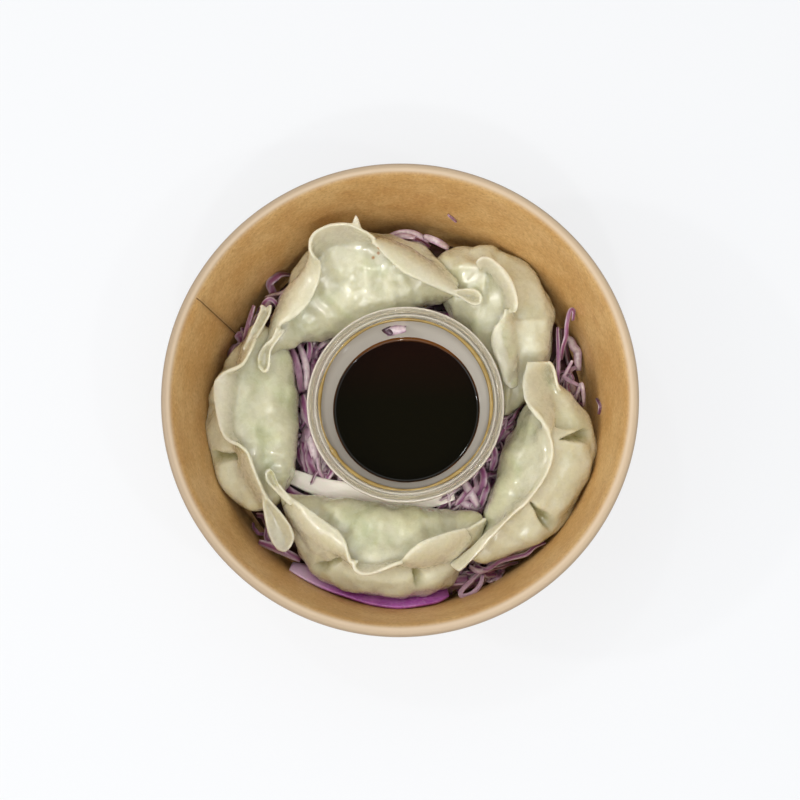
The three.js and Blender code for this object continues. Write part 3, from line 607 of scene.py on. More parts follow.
DUMPLINGS = {
    "nw": {
        "stations": [
            (-46.1, 15.2, 31.5, -45.1, 15.2, -46.4, 17.2, 28.5),
            (-43, 24.2, 31.5, -38.1, 20.6, -45.6, 26.7, 22),
            (-38.8, 33.7, 32.5, -31.1, 23.2, -42.1, 36.2, 15),
            (-33.6, 43.2, 35.5, -21.6, 25.7, -37.6, 48.2, 13),
            (-24.6, 51.2, 38, -11.6, 27.2, -28.6, 57.2, 13),
            (-11.6, 54.2, 39, -2.1, 30.2, -12.6, 60.7, 13),
            (-0.6, 50.2, 37.5, 6.4, 34.5, 1.9, 58.2, 13),
            (10.4, 43.7, 35, 12.4, 36.7, 10.9, 52.7, 15.5),
            (18.9, 38.7, 33, 18.4, 37.2, 19.9, 40.2, 29),
        ],
        "frills": [[
            (0.09, -40.6, 24.6, 35, 3, 1), (0.14, -38.9, 27.5, 36, 4, 1.5), (0.2, -34.8, 29.1, 37, 5.5, 2),
            (0.25, -31.1, 32.5, 38, 6, 2), (0.3, -28, 37.6, 39, 5.5, 2), (0.35, -26.2, 42.6, 41, 4, 1.5),
            (0.38, -26.1, 46.4, 43.5, 3, 1), (0.4, -27.9, 47.9, 45.5, 1.5, 0.5),
            (0.425, -29.3, 50, 46.5, 0.5, 0), (0.455, -29.3, 53.2, 47.2, 0.2, 0),
            (0.48, -27.8, 55.6, 47.5, 0, 0), (0.515, -24.5, 57.5, 47.5, 0, 0),
            (0.545, -21.2, 58.3, 47.5, 0, 0), (0.57, -18, 58.5, 47.3, 0, 0),
            (0.595, -15.4, 57.9, 47, 0, 0), (0.62, -12.8, 56.6, 46.5, 0.3, 0),
            (0.645, -10.5, 55.4, 46, 0.5, 0), (0.67, -8.3, 53.6, 45, 1, 0.5),
        ], [
            (0.585, -15.4, 57.7, 46.5, 0, 0), (0.6, -14.9, 59.5, 47, 0, 0),
            (0.606, -14.4, 61.1, 47.5, 0, 0), (0.612, -14, 59.5, 47, 0, 0), (0.627, -13.3, 56.8, 46, 0, 0),
        ], [
            (0.645, -9.4, 52.7, 44.5, 2.5, 1), (0.67, -8.4, 51.6, 44.5, 4, 2),
            (0.69, -7.1, 50.3, 44, 4.5, 2.5), (0.74, -4, 47.1, 43.5, 5.5, 3), (0.8, 1, 42.7, 42, 6, 3.2),
            (0.86, 7.4, 40, 39.5, 5.5, 3), (0.93, 13.7, 37.7, 37, 4.5, 2.4), (1, 19.3, 35.5, 35, 3.5, 2),
        ]],
        "dip": 0,
        "ripple": 0.22,
        "pleats": [(0.3, 3, 0.03), (0.5, 3, 0.03)],
        "folds": [],
        "ends": [[
            (-41.4, 26.3, 37, -39.2, 25.2, 35.5, 0.3), (-43, 22.5, 36, -41.7, 22.5, 34, 0.5),
            (-45.4, 20.3, 35.2, -44.2, 20, 32.6, 0.6), (-47.1, 18.2, 34.6, -45.3, 17.9, 31.6, 0.7),
            (-47.9, 16.1, 34.2, -45.6, 15.9, 31.1, 0.7), (-47.7, 13.6, 34, -45.7, 14.2, 31, 0.6),
            (-46.2, 11.7, 34, -45.6, 13.5, 31, 0.4), (-44.5, 11.5, 34.4, -45.4, 13.7, 31, 0.2),
            (-43.7, 13.3, 34.8, -45.3, 14.9, 31, 0), (-43.5, 15.8, 35.4, -45.2, 16.7, 31.4, 0),
            (-43.1, 18.4, 36, -44.4, 19.1, 32.2, 0), (-41.6, 20.8, 36.6, -42.5, 21.5, 33.8, 0.2),
            (-39.4, 23.4, 36.3, -40.2, 24, 34.8, 0.2), (-38.3, 25.6, 35.2, -38.8, 25.4, 34, 0.2),
        ], [
            (16, 37.8, 37, 18.3, 37.6, 35.5, 0.5), (19, 38.5, 36.8, 21, 37.4, 34, 0.8),
            (21.6, 38.9, 36.6, 23, 37, 32.5, 1.4), (24.3, 38.6, 36.4, 24, 36.7, 31.5, 1.9),
            (26.4, 37.2, 36.2, 24.5, 36.4, 31.2, 2), (27.2, 35.2, 36, 24.7, 36.3, 31.2, 2),
            (26.4, 33.5, 36, 24.5, 36.2, 31.2, 2), (24.2, 33, 36, 24.2, 36.3, 31.2, 2),
            (21.9, 34, 36.2, 23.5, 36.5, 31.8, 1.7), (19.8, 35.5, 36.6, 21.7, 36.9, 33, 1.1),
            (17.3, 36.8, 37, 19.3, 37.2, 35, 0.5),
        ]],
        "specks": [(-7.4, 50.5, 40), (-9.2, 49, 39)],
    },
    "w": {
        "stations": [
            (-48.4, 29.4, 30, -46.9, 29, -50.3, 28.3, 24),
            (-50.6, 24.7, 32, -40.6, 24.2, -54.1, 24.2, 17),
            (-53.2, 16.7, 34, -36.6, 15.2, -60.1, 16.7, 14),
            (-55.2, 6.7, 36, -35.4, 5.7, -64.8, 6.7, 13),
            (-56.2, -3.3, 36.5, -35.2, -4.8, -66, -3.8, 13),
            (-53.4, -12.8, 35.5, -35.4, -14.8, -64.8, -13.8, 13),
            (-50.4, -21.8, 33.5, -36.6, -22.3, -63, -22.3, 14),
            (-47.1, -28.8, 31, -39.1, -27.8, -56.4, -30.8, 17),
            (-43.8, -34.3, 29, -42.4, -33.3, -46.6, -35.8, 23),
        ],
        "frills": [[
            (0.13, -47.7, 22, 38, 1.5, 0), (0.2, -48.6, 18.8, 39.5, 2, 0),
            (0.26, -50.6, 14.3, 40.5, 1.5, 0), (0.29, -52.9, 12, 41, 1, 0), (0.32, -56.5, 10.8, 41, 1, 0),
            (0.35, -59.5, 9.5, 40.5, 3, 0.5), (0.385, -61.4, 7.3, 40, 3.5, 1), (0.42, -61.6, 4, 40, 4, 1),
            (0.46, -61.1, -0.1, 40, 4, 1), (0.5, -60.4, -4, 40.3, 3.5, 0.5),
            (0.54, -59.3, -7.9, 40.5, 2.5, 0.5), (0.58, -57.7, -11, 40.8, 1.5, 0),
            (0.61, -55.2, -12.9, 41, 1, 0.5), (0.635, -51.9, -14.1, 41, 1.2, 1),
            (0.66, -49.6, -16, 40.5, 1.5, 1.5), (0.72, -48.1, -20.1, 39.5, 1.5, 1.7),
            (0.82, -46, -25.7, 37.5, 1.5, 1.7), (0.94, -43.7, -31.2, 35.2, 1.5, 1.5),
        ]],
        "dip": 0.3,
        "ripple": 0.15,
        "pleats": [(0.28, 1.4, 0.03), (0.43, 1.2, 0.03)],
        "folds": [
            ((-54.5, -17.5, 38), (-63.4, -17.5, 30), 3.2, 2.6, 1, 0.1),
        ],
        "ends": [[
            (-52.6, 18.6, 37, -50.1, 20.1, 36, 0.4), (-50.4, 23.7, 36.8, -48.4, 24.5, 34.5, 0.6),
            (-48.5, 27.8, 36.4, -47.2, 28.1, 33.4, 0.7), (-47.4, 30.4, 36.2, -46.3, 30.2, 32.8, 0.6),
            (-46.8, 32.1, 36, -45.8, 31.4, 32.6, 0.3), (-46.5, 33.8, 36, -45.7, 32.3, 32.6, 0),
            (-45.2, 32.5, 35, -45.3, 32, 32.6, 0), (-43.3, 33.9, 36, -45, 32, 32.6, 0),
            (-43.5, 31.3, 36, -45.1, 30.9, 32.8, 0), (-44.6, 28.5, 36.4, -46, 28.9, 33.4, 0),
            (-46.1, 25.5, 36.8, -47.2, 26.2, 34.5, 0.2), (-47.8, 22.3, 37, -48.6, 22.8, 36, 0.3),
        ], [
            (-45.5, -30.3, 35.2, -45.0, -30.2, 34.5, 0), (-45.4, -32.8, 34.5, -44.0, -32.7, 32.8, -0.2),
            (-44.8, -36.4, 33.8, -42.4, -35.9, 31.8, -0.4), (-44.2, -40.3, 33, -40.6, -39.2, 31, -0.5),
            (-42.9, -44.2, 32.4, -39.3, -41.8, 30.6, -0.5), (-40.9, -47.1, 32, -38.5, -43.4, 30.4, -0.5),
            (-38.3, -48.1, 31.8, -38.4, -43.8, 30.4, -0.5), (-36.2, -46.4, 32, -38.7, -43.4, 30.4, -0.5),
            (-35.2, -43.5, 32.2, -39.2, -42.1, 30.5, -0.5), (-36.0, -40.3, 32.6, -40.5, -39.8, 30.9, -0.5),
            (-38.1, -37.0, 33.2, -42.3, -36.8, 31.6, -0.4), (-40.7, -33.8, 34, -43.4, -34.2, 32.4, -0.2),
            (-43.1, -30.9, 34.9, -44.4, -31.8, 33.5, 0), (-44.5, -28.7, 35.6, -44.8, -29.2, 34.6, 0),
        ]],
        "specks": [],
    },
    "s": {
        "stations": [
            (-41.6, -28.3, 28.5, -40.8, -27.6, -41.1, -30.8, 24),
            (-37.1, -35.8, 29.5, -34.9, -28, -36.8, -42.3, 16),
            (-30.1, -43.4, 32, -27.6, -29, -33.1, -51.3, 13.5),
            (-20.6, -49.2, 35, -18.6, -30.2, -24.6, -58.8, 13),
            (-8.6, -51.8, 37.5, -7.6, -31.4, -8.6, -62.6, 13),
            (4.4, -51.2, 36.5, 4.4, -32.4, 4.9, -62.9, 13),
            (15.4, -48.2, 33, 14.9, -33.5, 15.4, -59.3, 13.5),
            (22.9, -42.8, 30, 22.4, -34.4, 20.9, -50.8, 17),
            (28.4, -37.2, 28, 28, -35.8, 27.9, -38.8, 24),
        ],
        "frills": [[
            (0.07, -35, -30.9, 34.5, 3, 0.3), (0.1, -33.4, -31.7, 34.5, 4, 0.3),
            (0.18, -28.4, -35.2, 35.5, 5, 0.5), (0.26, -23, -39.2, 37, 5.5, 0.7),
            (0.31, -19.7, -41.8, 38, 5, 0.7), (0.35, -17.5, -45.1, 39.5, 4, 0.5),
            (0.385, -16.7, -48.9, 40.5, 2, 0), (0.41, -15.9, -51.9, 41, 1, 0),
        ], [
            (0.395, -13.2, -51.4, 40.5, 0.5, 0), (0.405, -14.3, -51.7, 40.8, 0.5, 0),
            (0.417, -14.8, -53.5, 41, 0.5, 0), (0.43, -13.8, -55.1, 41.3, 0.5, 0),
            (0.45, -11.7, -55.9, 41.5, 0.5, 0), (0.48, -8.8, -55.5, 41.7, 0.5, 0),
            (0.52, -4.9, -53.9, 42, 0.5, 0), (0.56, -1.7, -52.4, 42, 0.5, 0),
            (0.595, 0.7, -51.6, 42, 0.5, 0),
        ], [
            (0.57, 1.3, -51.3, 40.5, 2, 0.6), (0.6, 2.4, -48.7, 41.3, 3.5, 1.2),
            (0.64, 5.3, -45.9, 41.3, 4.5, 1.5), (0.7, 9.8, -43.6, 40.3, 5, 1.5),
            (0.76, 14, -42.1, 38.8, 5, 1.5), (0.82, 17.9, -41.1, 37.2, 4.5, 1.2),
            (0.87, 21.1, -40.3, 36, 4, 1),
        ], [
            (0.85, 19.9, -41.2, 33.8, 2, 0.5), (0.93, 24.5, -38.9, 32.5, 1.5, 0.5),
            (1, 27.8, -37, 31.2, 1, 0),
        ]],
        "dip": 0.3,
        "ripple": 0.15,
        "pleats": [(0.33, 1.4, 0.032), (0.62, 0.8, 0.03)],
        "folds": [
            ((-20.0, -51.0, 37), (-27.4, -53.9, 30), 2.6, 1.5, 1, 0.05),
            ((4.3, -54.3, 38), (6.4, -58.5, 31), 2.6, 1.8, 1, 0.1),
        ],
        "ends": [[
            (-36.1, -33.2, 35.5, -35.4, -32.4, 35, 0), (-38.5, -30.9, 35.2, -37.8, -30.2, 33.6, -0.2),
            (-41, -28.4, 35, -40.2, -27.2, 32.2, -0.4), (-43.3, -26, 35, -41.8, -24.5, 31.4, -0.5),
            (-44.5, -23.8, 35, -42.6, -22.8, 31, -0.5), (-44.3, -21.9, 35.2, -42.8, -22.2, 31, -0.3),
            (-43, -21.1, 35.4, -42.7, -22, 31, -0.2), (-41.6, -22.2, 35.6, -42.5, -22.7, 31, 0),
            (-40.6, -24.9, 35.8, -41.6, -24.6, 31.6, 0), (-38.4, -28.2, 36, -39.6, -27.8, 33, 0),
            (-35.8, -30.9, 35.2, -36.9, -30.6, 34, 0), (-34, -32.5, 34.2, -34.7, -32.5, 33.2, 0),
        ]],
        "specks": [(6.5, -33.6, 33), (9.1, -33.5, 33), (10.4, -34.1, 33)],
    },
    "e": {
        "stations": [
            (48, 10.7, 32.5, 45.9, 9.2, 50.9, 9.7, 29),
            (47, 3.7, 35, 41.9, 1.7, 57.4, 3.7, 21),
            (46.3, -5.2, 38.8, 36.9, -6.8, 63.4, -4.3, 14),
            (47, -14, 40, 33.6, -14.8, 65, -12.8, 13),
            (46, -21.6, 39.3, 31.2, -23.3, 62.4, -23.3, 13),
            (41.6, -28.8, 37.8, 28.7, -29.3, 57.4, -33.8, 13),
            (36.2, -34.8, 35.4, 27.4, -34.3, 49.9, -42.3, 13.5),
            (29.4, -42.3, 32.3, 27.6, -40.8, 38.9, -48.3, 17),
            (21.9, -51.4, 28.6, 22.4, -50.3, 24, -53.2, 26),
        ],
        "frills": [[
            (0.2, 41.8, -1.8, 42.5, 2, 3), (0.26, 45.2, -5.7, 43, 1.5, 2.5),
            (0.33, 48.4, -10.7, 42.2, 1, 2), (0.4, 49.6, -15.2, 41.8, 1, 2.5),
            (0.48, 48.8, -20.4, 41.3, 1, 2.5), (0.56, 46.3, -25.5, 40.6, 1, 2.5),
            (0.64, 43.1, -30, 39.8, 0.8, 2), (0.72, 39.5, -33.8, 38.8, 0.6, 1.5),
            (0.8, 35, -37.2, 37.5, 0.5, 0.5),
        ]],
        "dip": 0.75,
        "ripple": 0.06,
        "pleats": [(0.84, 1.2, 0.03)],
        "folds": [
            ((52.5, -12.0, 40), (60.6, -10.6, 32), 3.2, 3, -1, 0.1),
            ((42.8, -33.2, 38), (48.0, -37.3, 30), 3, 2.4, 1, 0.1),
            ((50.5, -1.9, 40), (61.7, -5, 31), 5, 0.8, 1, 1),
        ],
        "ends": [[
            (48.3, 13.7, 38.5, 48.4, 13.6, 36, 0), (49.5, 13.1, 37.8, 49.1, 12.7, 33.5, -0.6),
            (50.5, 10.9, 37.2, 49.9, 10.7, 31.5, -1), (51.0, 8.1, 37, 50.3, 8.0, 31.5, -1),
            (51.6, 5.9, 36.5, 51.4, 5.7, 33, -0.5), (52.8, 4.5, 35.5, 52.6, 4.5, 33.5, 0),
        ], [
            (41.3, 13.5, 39.5, 48.3, 13.9, 37, 1.5), (40.0, 8.5, 40.5, 48.3, 11.1, 33, 2.5),
            (39.6, 3.6, 41.5, 49.2, 7.3, 33, 3), (40.8, -0.8, 42, 51.2, 4.5, 32.5, 2.5),
            (43.5, -4.7, 42.7, 52.8, 1.1, 32.5, 2), (46.2, -7.6, 42.8, 52.3, -2.8, 34.5, 1.5),
            (48.1, -10.4, 42.5, 50.7, -7.7, 37, 1),
        ], [
            (36.3, -36.6, 38.2, 34.5, -36.6, 36, 0.4), (33.4, -39.5, 37.2, 31.2, -39.2, 34.6, 0.5),
            (31, -42.2, 36.3, 28.3, -41.4, 33.4, 0.6), (29.1, -44.2, 35.4, 25.9, -43.8, 32.4, 0.7),
            (27.6, -46.3, 34.4, 23.6, -46.2, 31.4, 0.7), (25, -49, 33.4, 21, -48.2, 30.4, 0.5),
            (22.4, -51.4, 32.6, 18.4, -50.2, 29.6, 0.2), (20.3, -53.5, 32.2, 16.4, -51.5, 29.6, -0.4),
            (18.7, -54.5, 32, 15.9, -52.6, 30.4, -0.8),
        ]],
        "specks": [],
    },
    "ne": {
        "stations": [
            (10.9, 47.7, 28, 11.4, 45.2, 10.9, 50.2, 22),
            (17.4, 48.2, 31.5, 14.4, 36.7, 15.9, 56.2, 15),
            (24.9, 47.2, 34.5, 18.4, 30, 24.5, 57.5, 13),
            (31.4, 43.6, 36.5, 24, 23.4, 34.6, 55.3, 13),
            (35.4, 36.8, 37, 28.4, 16.8, 45.3, 46.6, 13),
            (36.4, 28, 35.5, 31.8, 10.2, 52, 33, 13),
            (36.4, 19, 32, 33.4, 5.2, 50, 19.2, 13.5),
            (36.4, 9.7, 27.5, 34, 1.7, 46.4, 8.2, 13.5),
            (36.2, -1.2, 20, 35, -3, 38.4, -1.2, 15),
        ],
        "frills": [[
            (0.285, 26.9, 45.3, 38, 0, 0), (0.295, 25.4, 45.9, 39, 0.8, 0),
            (0.31, 25.1, 47.5, 40, 1.2, 0.5), (0.325, 26.9, 48.7, 40.5, 2, 1),
            (0.35, 29.5, 48.4, 40.8, 3, 1), (0.38, 32.1, 46.6, 40.8, 3.5, 1),
            (0.415, 34.5, 44.2, 40.8, 3.5, 1), (0.45, 36.4, 41.5, 40.8, 3.5, 1),
            (0.49, 38, 37.8, 40.8, 3.2, 1), (0.53, 38.7, 34.4, 40.5, 2.8, 1),
            (0.565, 38.5, 31.7, 40.3, 2, 0.5), (0.59, 37.4, 29.8, 40, 1, 0),
        ]],
        "dip": 0,
        "ripple": 0.15,
        "pleats": [(0.13, 1.1, 0.04), (0.24, 1.1, 0.04), (0.36, 1.8, 0.03)],
        "folds": [
            ((29.6, 44.3, 38), (30.0, 38.2, 35), 3, 0.8, 1, 0.9),
            ((37.4, 32.9, 37), (46.8, 33.5, 31), 5, 0.6, 1, 1),
        ],
        "ends": [[
            (34.2, 31.5, 39.3, 36.6, 30.7, 36.5, 1.2), (33.2, 28.2, 38.3, 37.1, 28.0, 35, 1.8),
            (30.8, 25.5, 36.8, 37.7, 25.1, 34, 2.4), (29.6, 21.9, 35.4, 37.8, 21.9, 33, 3),
            (30.0, 18.2, 34.4, 38.2, 18.7, 32, 3), (31.5, 15.1, 33.6, 38.5, 16.1, 31.5, 3),
            (32.8, 11.9, 32.6, 38.5, 14.2, 31, 2.8), (33.6, 8.7, 31.6, 38.5, 12.9, 30.5, 2.4),
            (35.0, 6.5, 30.8, 38.2, 12.3, 30, 2), (37.1, 5.8, 30.4, 38.4, 12.0, 30, 1.6),
            (39.0, 7.0, 30.2, 38.7, 11.6, 30, 1.2),
        ]],
        "specks": [],
    },
}

SECTION_POWER = 2.25
PINCH_SPREAD = 0.95
PINCH_DEPTH = 3.6
FRILL_ROOT = 2.2
FRILL_HEEL = 2.1
RIPPLES = 92
RIPPLE_REACH = 2.2
ROOT_REACH = 8
ROOT_PROUD = 1.7
ROOT_ROUNDS = 18
RIBBON_ROOT = 0.6


class DumplingSettings(PropertyGroup):
    dough: length("Dough", "Thickness of the doubled dough of the frill", 0.0015)
    open_wall: length("Open end", "Thickness of the single dough of an open end", 0.00125)
    voxel: length("Fineness", "Width of the faces of the finished skin", 0.00045)
    lump: length("Lumps", "How far the filling swells the wrapper", 0.0011)
    skin: colour("Skin colour", "Steamed dough over the filling", "c2bfa2")
    edge: colour("Frill colour", "Thick doubled dough of the frill", "c1bba3")
    green: colour("Filling colour", "Green of the beans through the dough", "b2b78f")


def pleat_depth(pleats, t, turn):
    """How far the folds pull the outer side in: sharp near the seam, gone lower down."""
    down = clamp(turn / 1.5)
    total = 0.0
    for place, depth, width in pleats:
        off = (t - place) / (width * mix(0.35, 1.45, down))
        total += depth * math.exp(-abs(off * (2.4 if off < 0 else 0.7)) ** 1.3)
    return total * math.sin(math.pi * down ** 0.8)


def body_ring(rows, t):
    """The sums that a whole section of the body shares."""
    sx, sy, sz, ix, iy, ox, oy, floor = between(rows, t)
    end = min(t, 1 - t)
    half = math.hypot(ox - ix, oy - iy) / 2
    across = ((ox - ix) / 2 / half, (oy - iy) / 2 / half)
    middle = ((ox + ix) / 2, (oy + iy) / 2)
    rise = (sz - PINCH_DEPTH * ease(end / 0.3) - floor) / 2
    centre = floor + rise
    off = (sx - middle[0]) * across[0] + (sy - middle[1]) * across[1]
    skew = (sy - middle[1]) * across[0] - (sx - middle[0]) * across[1]
    return {
        "taper": ease(end / 0.035), "calm": ease(end / 0.12), "half": half, "across": across,
        "middle": middle, "rise": rise, "centre": centre, "off": off, "skew": skew, "lift": sz - centre,
    }


def lay_body(bm, shape):
    """The filled body: sections between the inner and outer edge, each drawn up to the seam."""
    last = len(shape["stations"]) - 1
    rows = [(n / last, *row) for n, row in enumerate(shape["stations"])]
    rings = {}

    def point(t, v):
        if t not in rings:
            rings[t] = body_ring(rows, t)
        ring = rings[t]
        turn = min(v, 1 - v) * ROUND
        angle = math.atan2(ring["lift"], ring["off"]) + ROUND * v
        pull = clamp(1 - turn / PINCH_SPREAD) ** 2
        wide = abs(math.cos(angle) / ring["half"]) ** SECTION_POWER
        tall = abs(math.sin(angle) / ring["rise"]) ** SECTION_POWER
        reach = mix((wide + tall) ** (-1 / SECTION_POWER), math.hypot(ring["lift"], ring["off"]), pull)
        if v > 0.5:
            reach -= pleat_depth(shape["pleats"], t, turn) * ring["calm"]
        else:
            fade = math.sin(math.pi * clamp(turn / RIPPLE_REACH)) * ring["calm"]
            reach += shape["ripple"] * fade * math.sin(RIPPLES * t + 1.5 * math.sin(7 * t + turn))
        taper = ring["taper"]
        y = reach * math.cos(angle) * taper + (1 - taper) * ring["off"]
        z = reach * math.sin(angle) * taper + (1 - taper) * ring["lift"]
        slide = ring["skew"] * mix(pull, 1, 1 - taper)
        ax, ay = ring["across"]
        mx, my = ring["middle"]
        return Vector((mx + ax * y - ay * slide, my + ay * y + ax * slide, ring["centre"] + z))

    lay_grid(bm, point, 120, 96)


def press_folds(bm, folds, filled, raised, crease_shade):
    """Hollows beside the folds: a steep step down on one side, running out on the other."""
    for apex, foot, width, depth, sharp, narrow in folds:
        start = Vector(apex)
        axis = Vector(foot) - start
        length = axis.length
        axis.normalize()
        outward = filled.find_nearest(Vector(foot))[1]
        side = axis.cross(outward).normalized() * sharp
        inward = side.cross(axis).normalized()
        if inward.dot(outward) > 0:
            inward.negate()
        for vert in bm.verts:
            away = vert.co - start
            down = away.dot(axis) / length
            if not 0 < down < 1.4 or vert[raised] > 0.5 or away.dot(inward) > 7:
                continue
            off = away.dot(side) / (width * mix(narrow, 1, min(down, 1)))
            if abs(off) > 1:
                continue
            across = ease((off + 1) / 1.7) if off < 0.7 else 1 - ease((off - 0.7) / 0.3)
            share = across * ease(down / 0.25) * (1 - ease((down - 0.8) / 0.6))
            vert.co += inward * (depth * share)
            # Painted shade in the hollow, stronger where it is deeper.
            vert[crease_shade] = max(vert[crease_shade], share ** 0.7 * clamp(depth / 2))


def lay_curtain(bm, spot, steps, thick, heel=1.15):
    """A bent sheet of dough round spot(t, k), from its thick root at k = 0 to its thin free edge."""
    def middle(t, k):
        along = spot(min(t + 0.008, 1), k) - spot(max(t - 0.008, 0), k)
        slope = spot(t, min(k + 0.03, 1)) - spot(t, max(k - 0.03, 0))
        return spot(t, k), along.cross(slope).normalized()

    lay_sheet(bm, middle, lambda t, k: thick / 2 * mix(heel, 0.8, k ** 0.6), steps, 14)
    return [spot(n / (2 * steps), 1) for n in range(2 * steps + 1)]


def bend(root, top, edge, k):
    return root * (1 - k) ** 2 + top * 2 * k * (1 - k) + edge * k * k


def lay_frill(bm, shape, sheet, thick):
    """One stretch of the frill: doubled dough from below the seam over a bow to its free edge."""
    last = len(shape["stations"]) - 1
    rows = [(n / last, *row[:3]) for n, row in enumerate(shape["stations"])]
    first, final = sheet[0][0], sheet[-1][0]

    def spot(t, k):
        place = mix(first, final, t)
        seam = Vector(between(rows, place))
        x, y, z, bow, back = between(sheet, place)
        edge = Vector((x, y, z))
        outward = Vector((seam.x - x, seam.y - y, 0))
        root = seam - UP * (FRILL_ROOT + shape["dip"] * back) + outward.normalized() * back
        return bend(root, root.lerp(edge, 0.3) + UP * bow, edge, k)

    return lay_curtain(bm, spot, max(14, round(150 * (final - first))), thick, FRILL_HEEL)


def lay_ribbon(bm, ribbon, thick):
    """One layer bent between its free edge and its root, from rows of both and the bow between."""
    last = len(ribbon) - 1
    rows = [(n / last, *row) for n, row in enumerate(ribbon)]

    def spot(t, k):
        *values, bow = between(rows, t)
        edge, root = Vector(values[:3]), Vector(values[3:]) - UP * RIBBON_ROOT
        return bend(root, (root + edge) / 2 + UP * bow, edge, k)

    return lay_curtain(bm, spot, 5 * last, thick)


def tree_of(points):
    tree = KDTree(len(points))
    for n, point in enumerate(points):
        tree.insert(point, n)
    tree.balance()
    return tree


def nearness(points, reach):
    """A sum that gives 1 at the points and falls to 0 at reach millimetres from them."""
    tree = tree_of(points)
    return lambda spot: clamp(1 - tree.find(spot)[2] / reach) if points else 0.0


def dumpling_mesh(shape, settings, seed):
    """The whole dumpling in one skin, with the shares that its material mixes its colours by."""
    bm = bmesh.new()
    lay_body(bm, shape)
    bmesh.ops.remove_doubles(bm, verts=bm.verts, dist=1e-3)
    bmesh.ops.recalc_face_normals(bm, faces=bm.faces)
    filled = BVHTree.FromBMesh(bm)
    edges = []
    for sheet in shape["frills"]:
        edges += lay_frill(bm, shape, sheet, settings.dough / MM)
    for ribbon in shape["ends"]:
        edges += lay_ribbon(bm, ribbon, settings.open_wall / MM)
    bmesh.ops.remove_doubles(bm, verts=bm.verts, dist=1e-3)
    melt(bm, settings.voxel / MM)
    smooth(bm, 2)
    last = len(shape["stations"]) - 1
    seam = [Vector(between([(n / last, *row[:3]) for n, row in enumerate(shape["stations"])], t / 80))
            for t in range(81)]
    seam_tree = tree_of(seam)
    near_edge = nearness(edges, 1.1)
    near_seam = nearness(seam, 7)
    near_root = nearness(seam, ROOT_REACH)
    near_end = nearness([seam[0], seam[-1]], 13)
    near_speck = nearness([Vector((x, y, 0)) for x, y, _ in shape["specks"]], 0.8)

    def proud(vert):
        """How far a point stands out of the filled body."""
        spot, normal, _, distance = filled.find_nearest(vert.co)
        return distance if (vert.co - spot).dot(normal) > 0 else 0

    roots = [vert for vert in bm.verts if near_root(vert.co) > 0 and proud(vert) < ROOT_PROUD]
    smooth(bm, ROOT_ROUNDS, 0.6, roots)
    names = ("frill", "lip", "thin", "crease_shade", "raised", "speck", "outer_tone_and_light")
    layers = {name: bm.verts.layers.float.new(name) for name in names}
    shift = Vector((seed * 31.7, seed * 17.3, seed * 5.9))
    for vert in bm.verts:
        raised = ease((proud(vert) - 0.2) / 1.2)
        vert[layers["raised"]] = raised
        vert[layers["frill"]] = max(raised, 0.75 * near_seam(vert.co) ** 0.8)
        # Painted light: the free edges are marked to be painted paler.
        vert[layers["lip"]] = near_edge(vert.co) * raised
        vert[layers["thin"]] = near_end(vert.co) * (1 - raised)
        # The outer side of the seam is marked to be painted paler: partly its own tone, partly painted light
        # that lifts the shade it lies in.
        outwards = vert.co.xy.length - seam_tree.find(vert.co)[0].xy.length
        vert[layers["outer_tone_and_light"]] = ease(outwards / 4)
        vert[layers["speck"]] = near_speck(Vector((vert.co.x, vert.co.y, 0)))
    press_folds(bm, shape["folds"], filled, layers["raised"], layers["crease_shade"])
    smooth(bm, 1)
    bm.normal_update()
    for vert in bm.verts:
        swell = noise.noise((vert.co + shift) / 6.5) + 0.16 * noise.noise((vert.co + shift) / 2.6)
        vert.co += vert.normal * (swell * settings.lump / MM * mix(1, 0.2, vert[layers["raised"]]))
    calm = bm.copy()
    smooth(calm, 16, 0.8)
    # Painted shade where the skin lies below its smoothed copy, in creases and hollows.
    for vert, soft in zip(bm.verts, calm.verts):
        sunk = clamp((soft.co - vert.co).dot(vert.normal) / 0.45)
        vert[layers["crease_shade"]] = max(0.22 * sunk, vert[layers["crease_shade"]])
    calm.free()
    return bm


def steamed_dough(settings):
    """Steamed wheat dough: translucent and wet over the green filling, creamier in the frill."""
    material, node, _, (beans, blush, film, drops, pools, mottle) = new_material(
        "steamed wheat dough", (10, 2, 0.55), (19, 2, 0.55), (1.7, 3, 0.55), (0.8, 2, 0.6), (8, 2, 0.55),
        (3.2, 3, 0.55))
    frill, lip, thin, crease_shade, speck, outer_tone_and_light = (
        node("Attribute", output="Fac", attribute_name=name)
        for name in ("frill", "lip", "thin", "crease_shade", "speck", "outer_tone_and_light"))
    mottled = node("MapRange", (mottle, 0.35, 0.65, 1, 0.6))
    wet = node("Math", (drops, node("MapRange", (pools, 0.44, 0.58))), operation="MULTIPLY")
    node("OutputMaterial", {"Surface": node("BsdfPrincipled", {
        "Base Color": paint(node, settings.skin,
                            ((beans, 0.46, 0.68, 0, 0.7), settings.green),
                            ((blush, 0.5, 0.72, 0, 0.35), "d6cca9"),
                            # Outer side painted paler: partly its own tone, partly painted light.
                            ((outer_tone_and_light, 0, 1, 0, 0.75), "d3d3bb"),
                            ((thin, 0, 1, 0, 0.6), "bdb174"),
                            (node("Math", (frill, mottled), operation="MULTIPLY"), settings.edge),
                            # Painted shade: dark olive in creases and hollows.
                            ((crease_shade, 0.05, 0.8, 0, 0.75), "848046"),
                            # Painted light: the frill's free edges painted paler.
                            ((lip, 0, 1, 0, 0.12), "e2d9c2"),
                            ((speck, 0.1, 0.6, 0, 0.8), "a2672c")),
        "Roughness": node("MapRange", (film, 0.38, 0.62, 0.2, 0.36)),
        "IOR": 1.42,
        "Subsurface Weight": 0.75,
        "Subsurface Radius": (1.0, 0.9, 0.65),
        "Subsurface Scale": 0.005,
        "Coat Weight": 0.85,
        "Coat Roughness": 0.06,
        "Coat Normal": relief(node, (film, 0.12), (wet, 0.32)),
        "Normal": relief(node, (film, 0.07)),
    })})
    return material


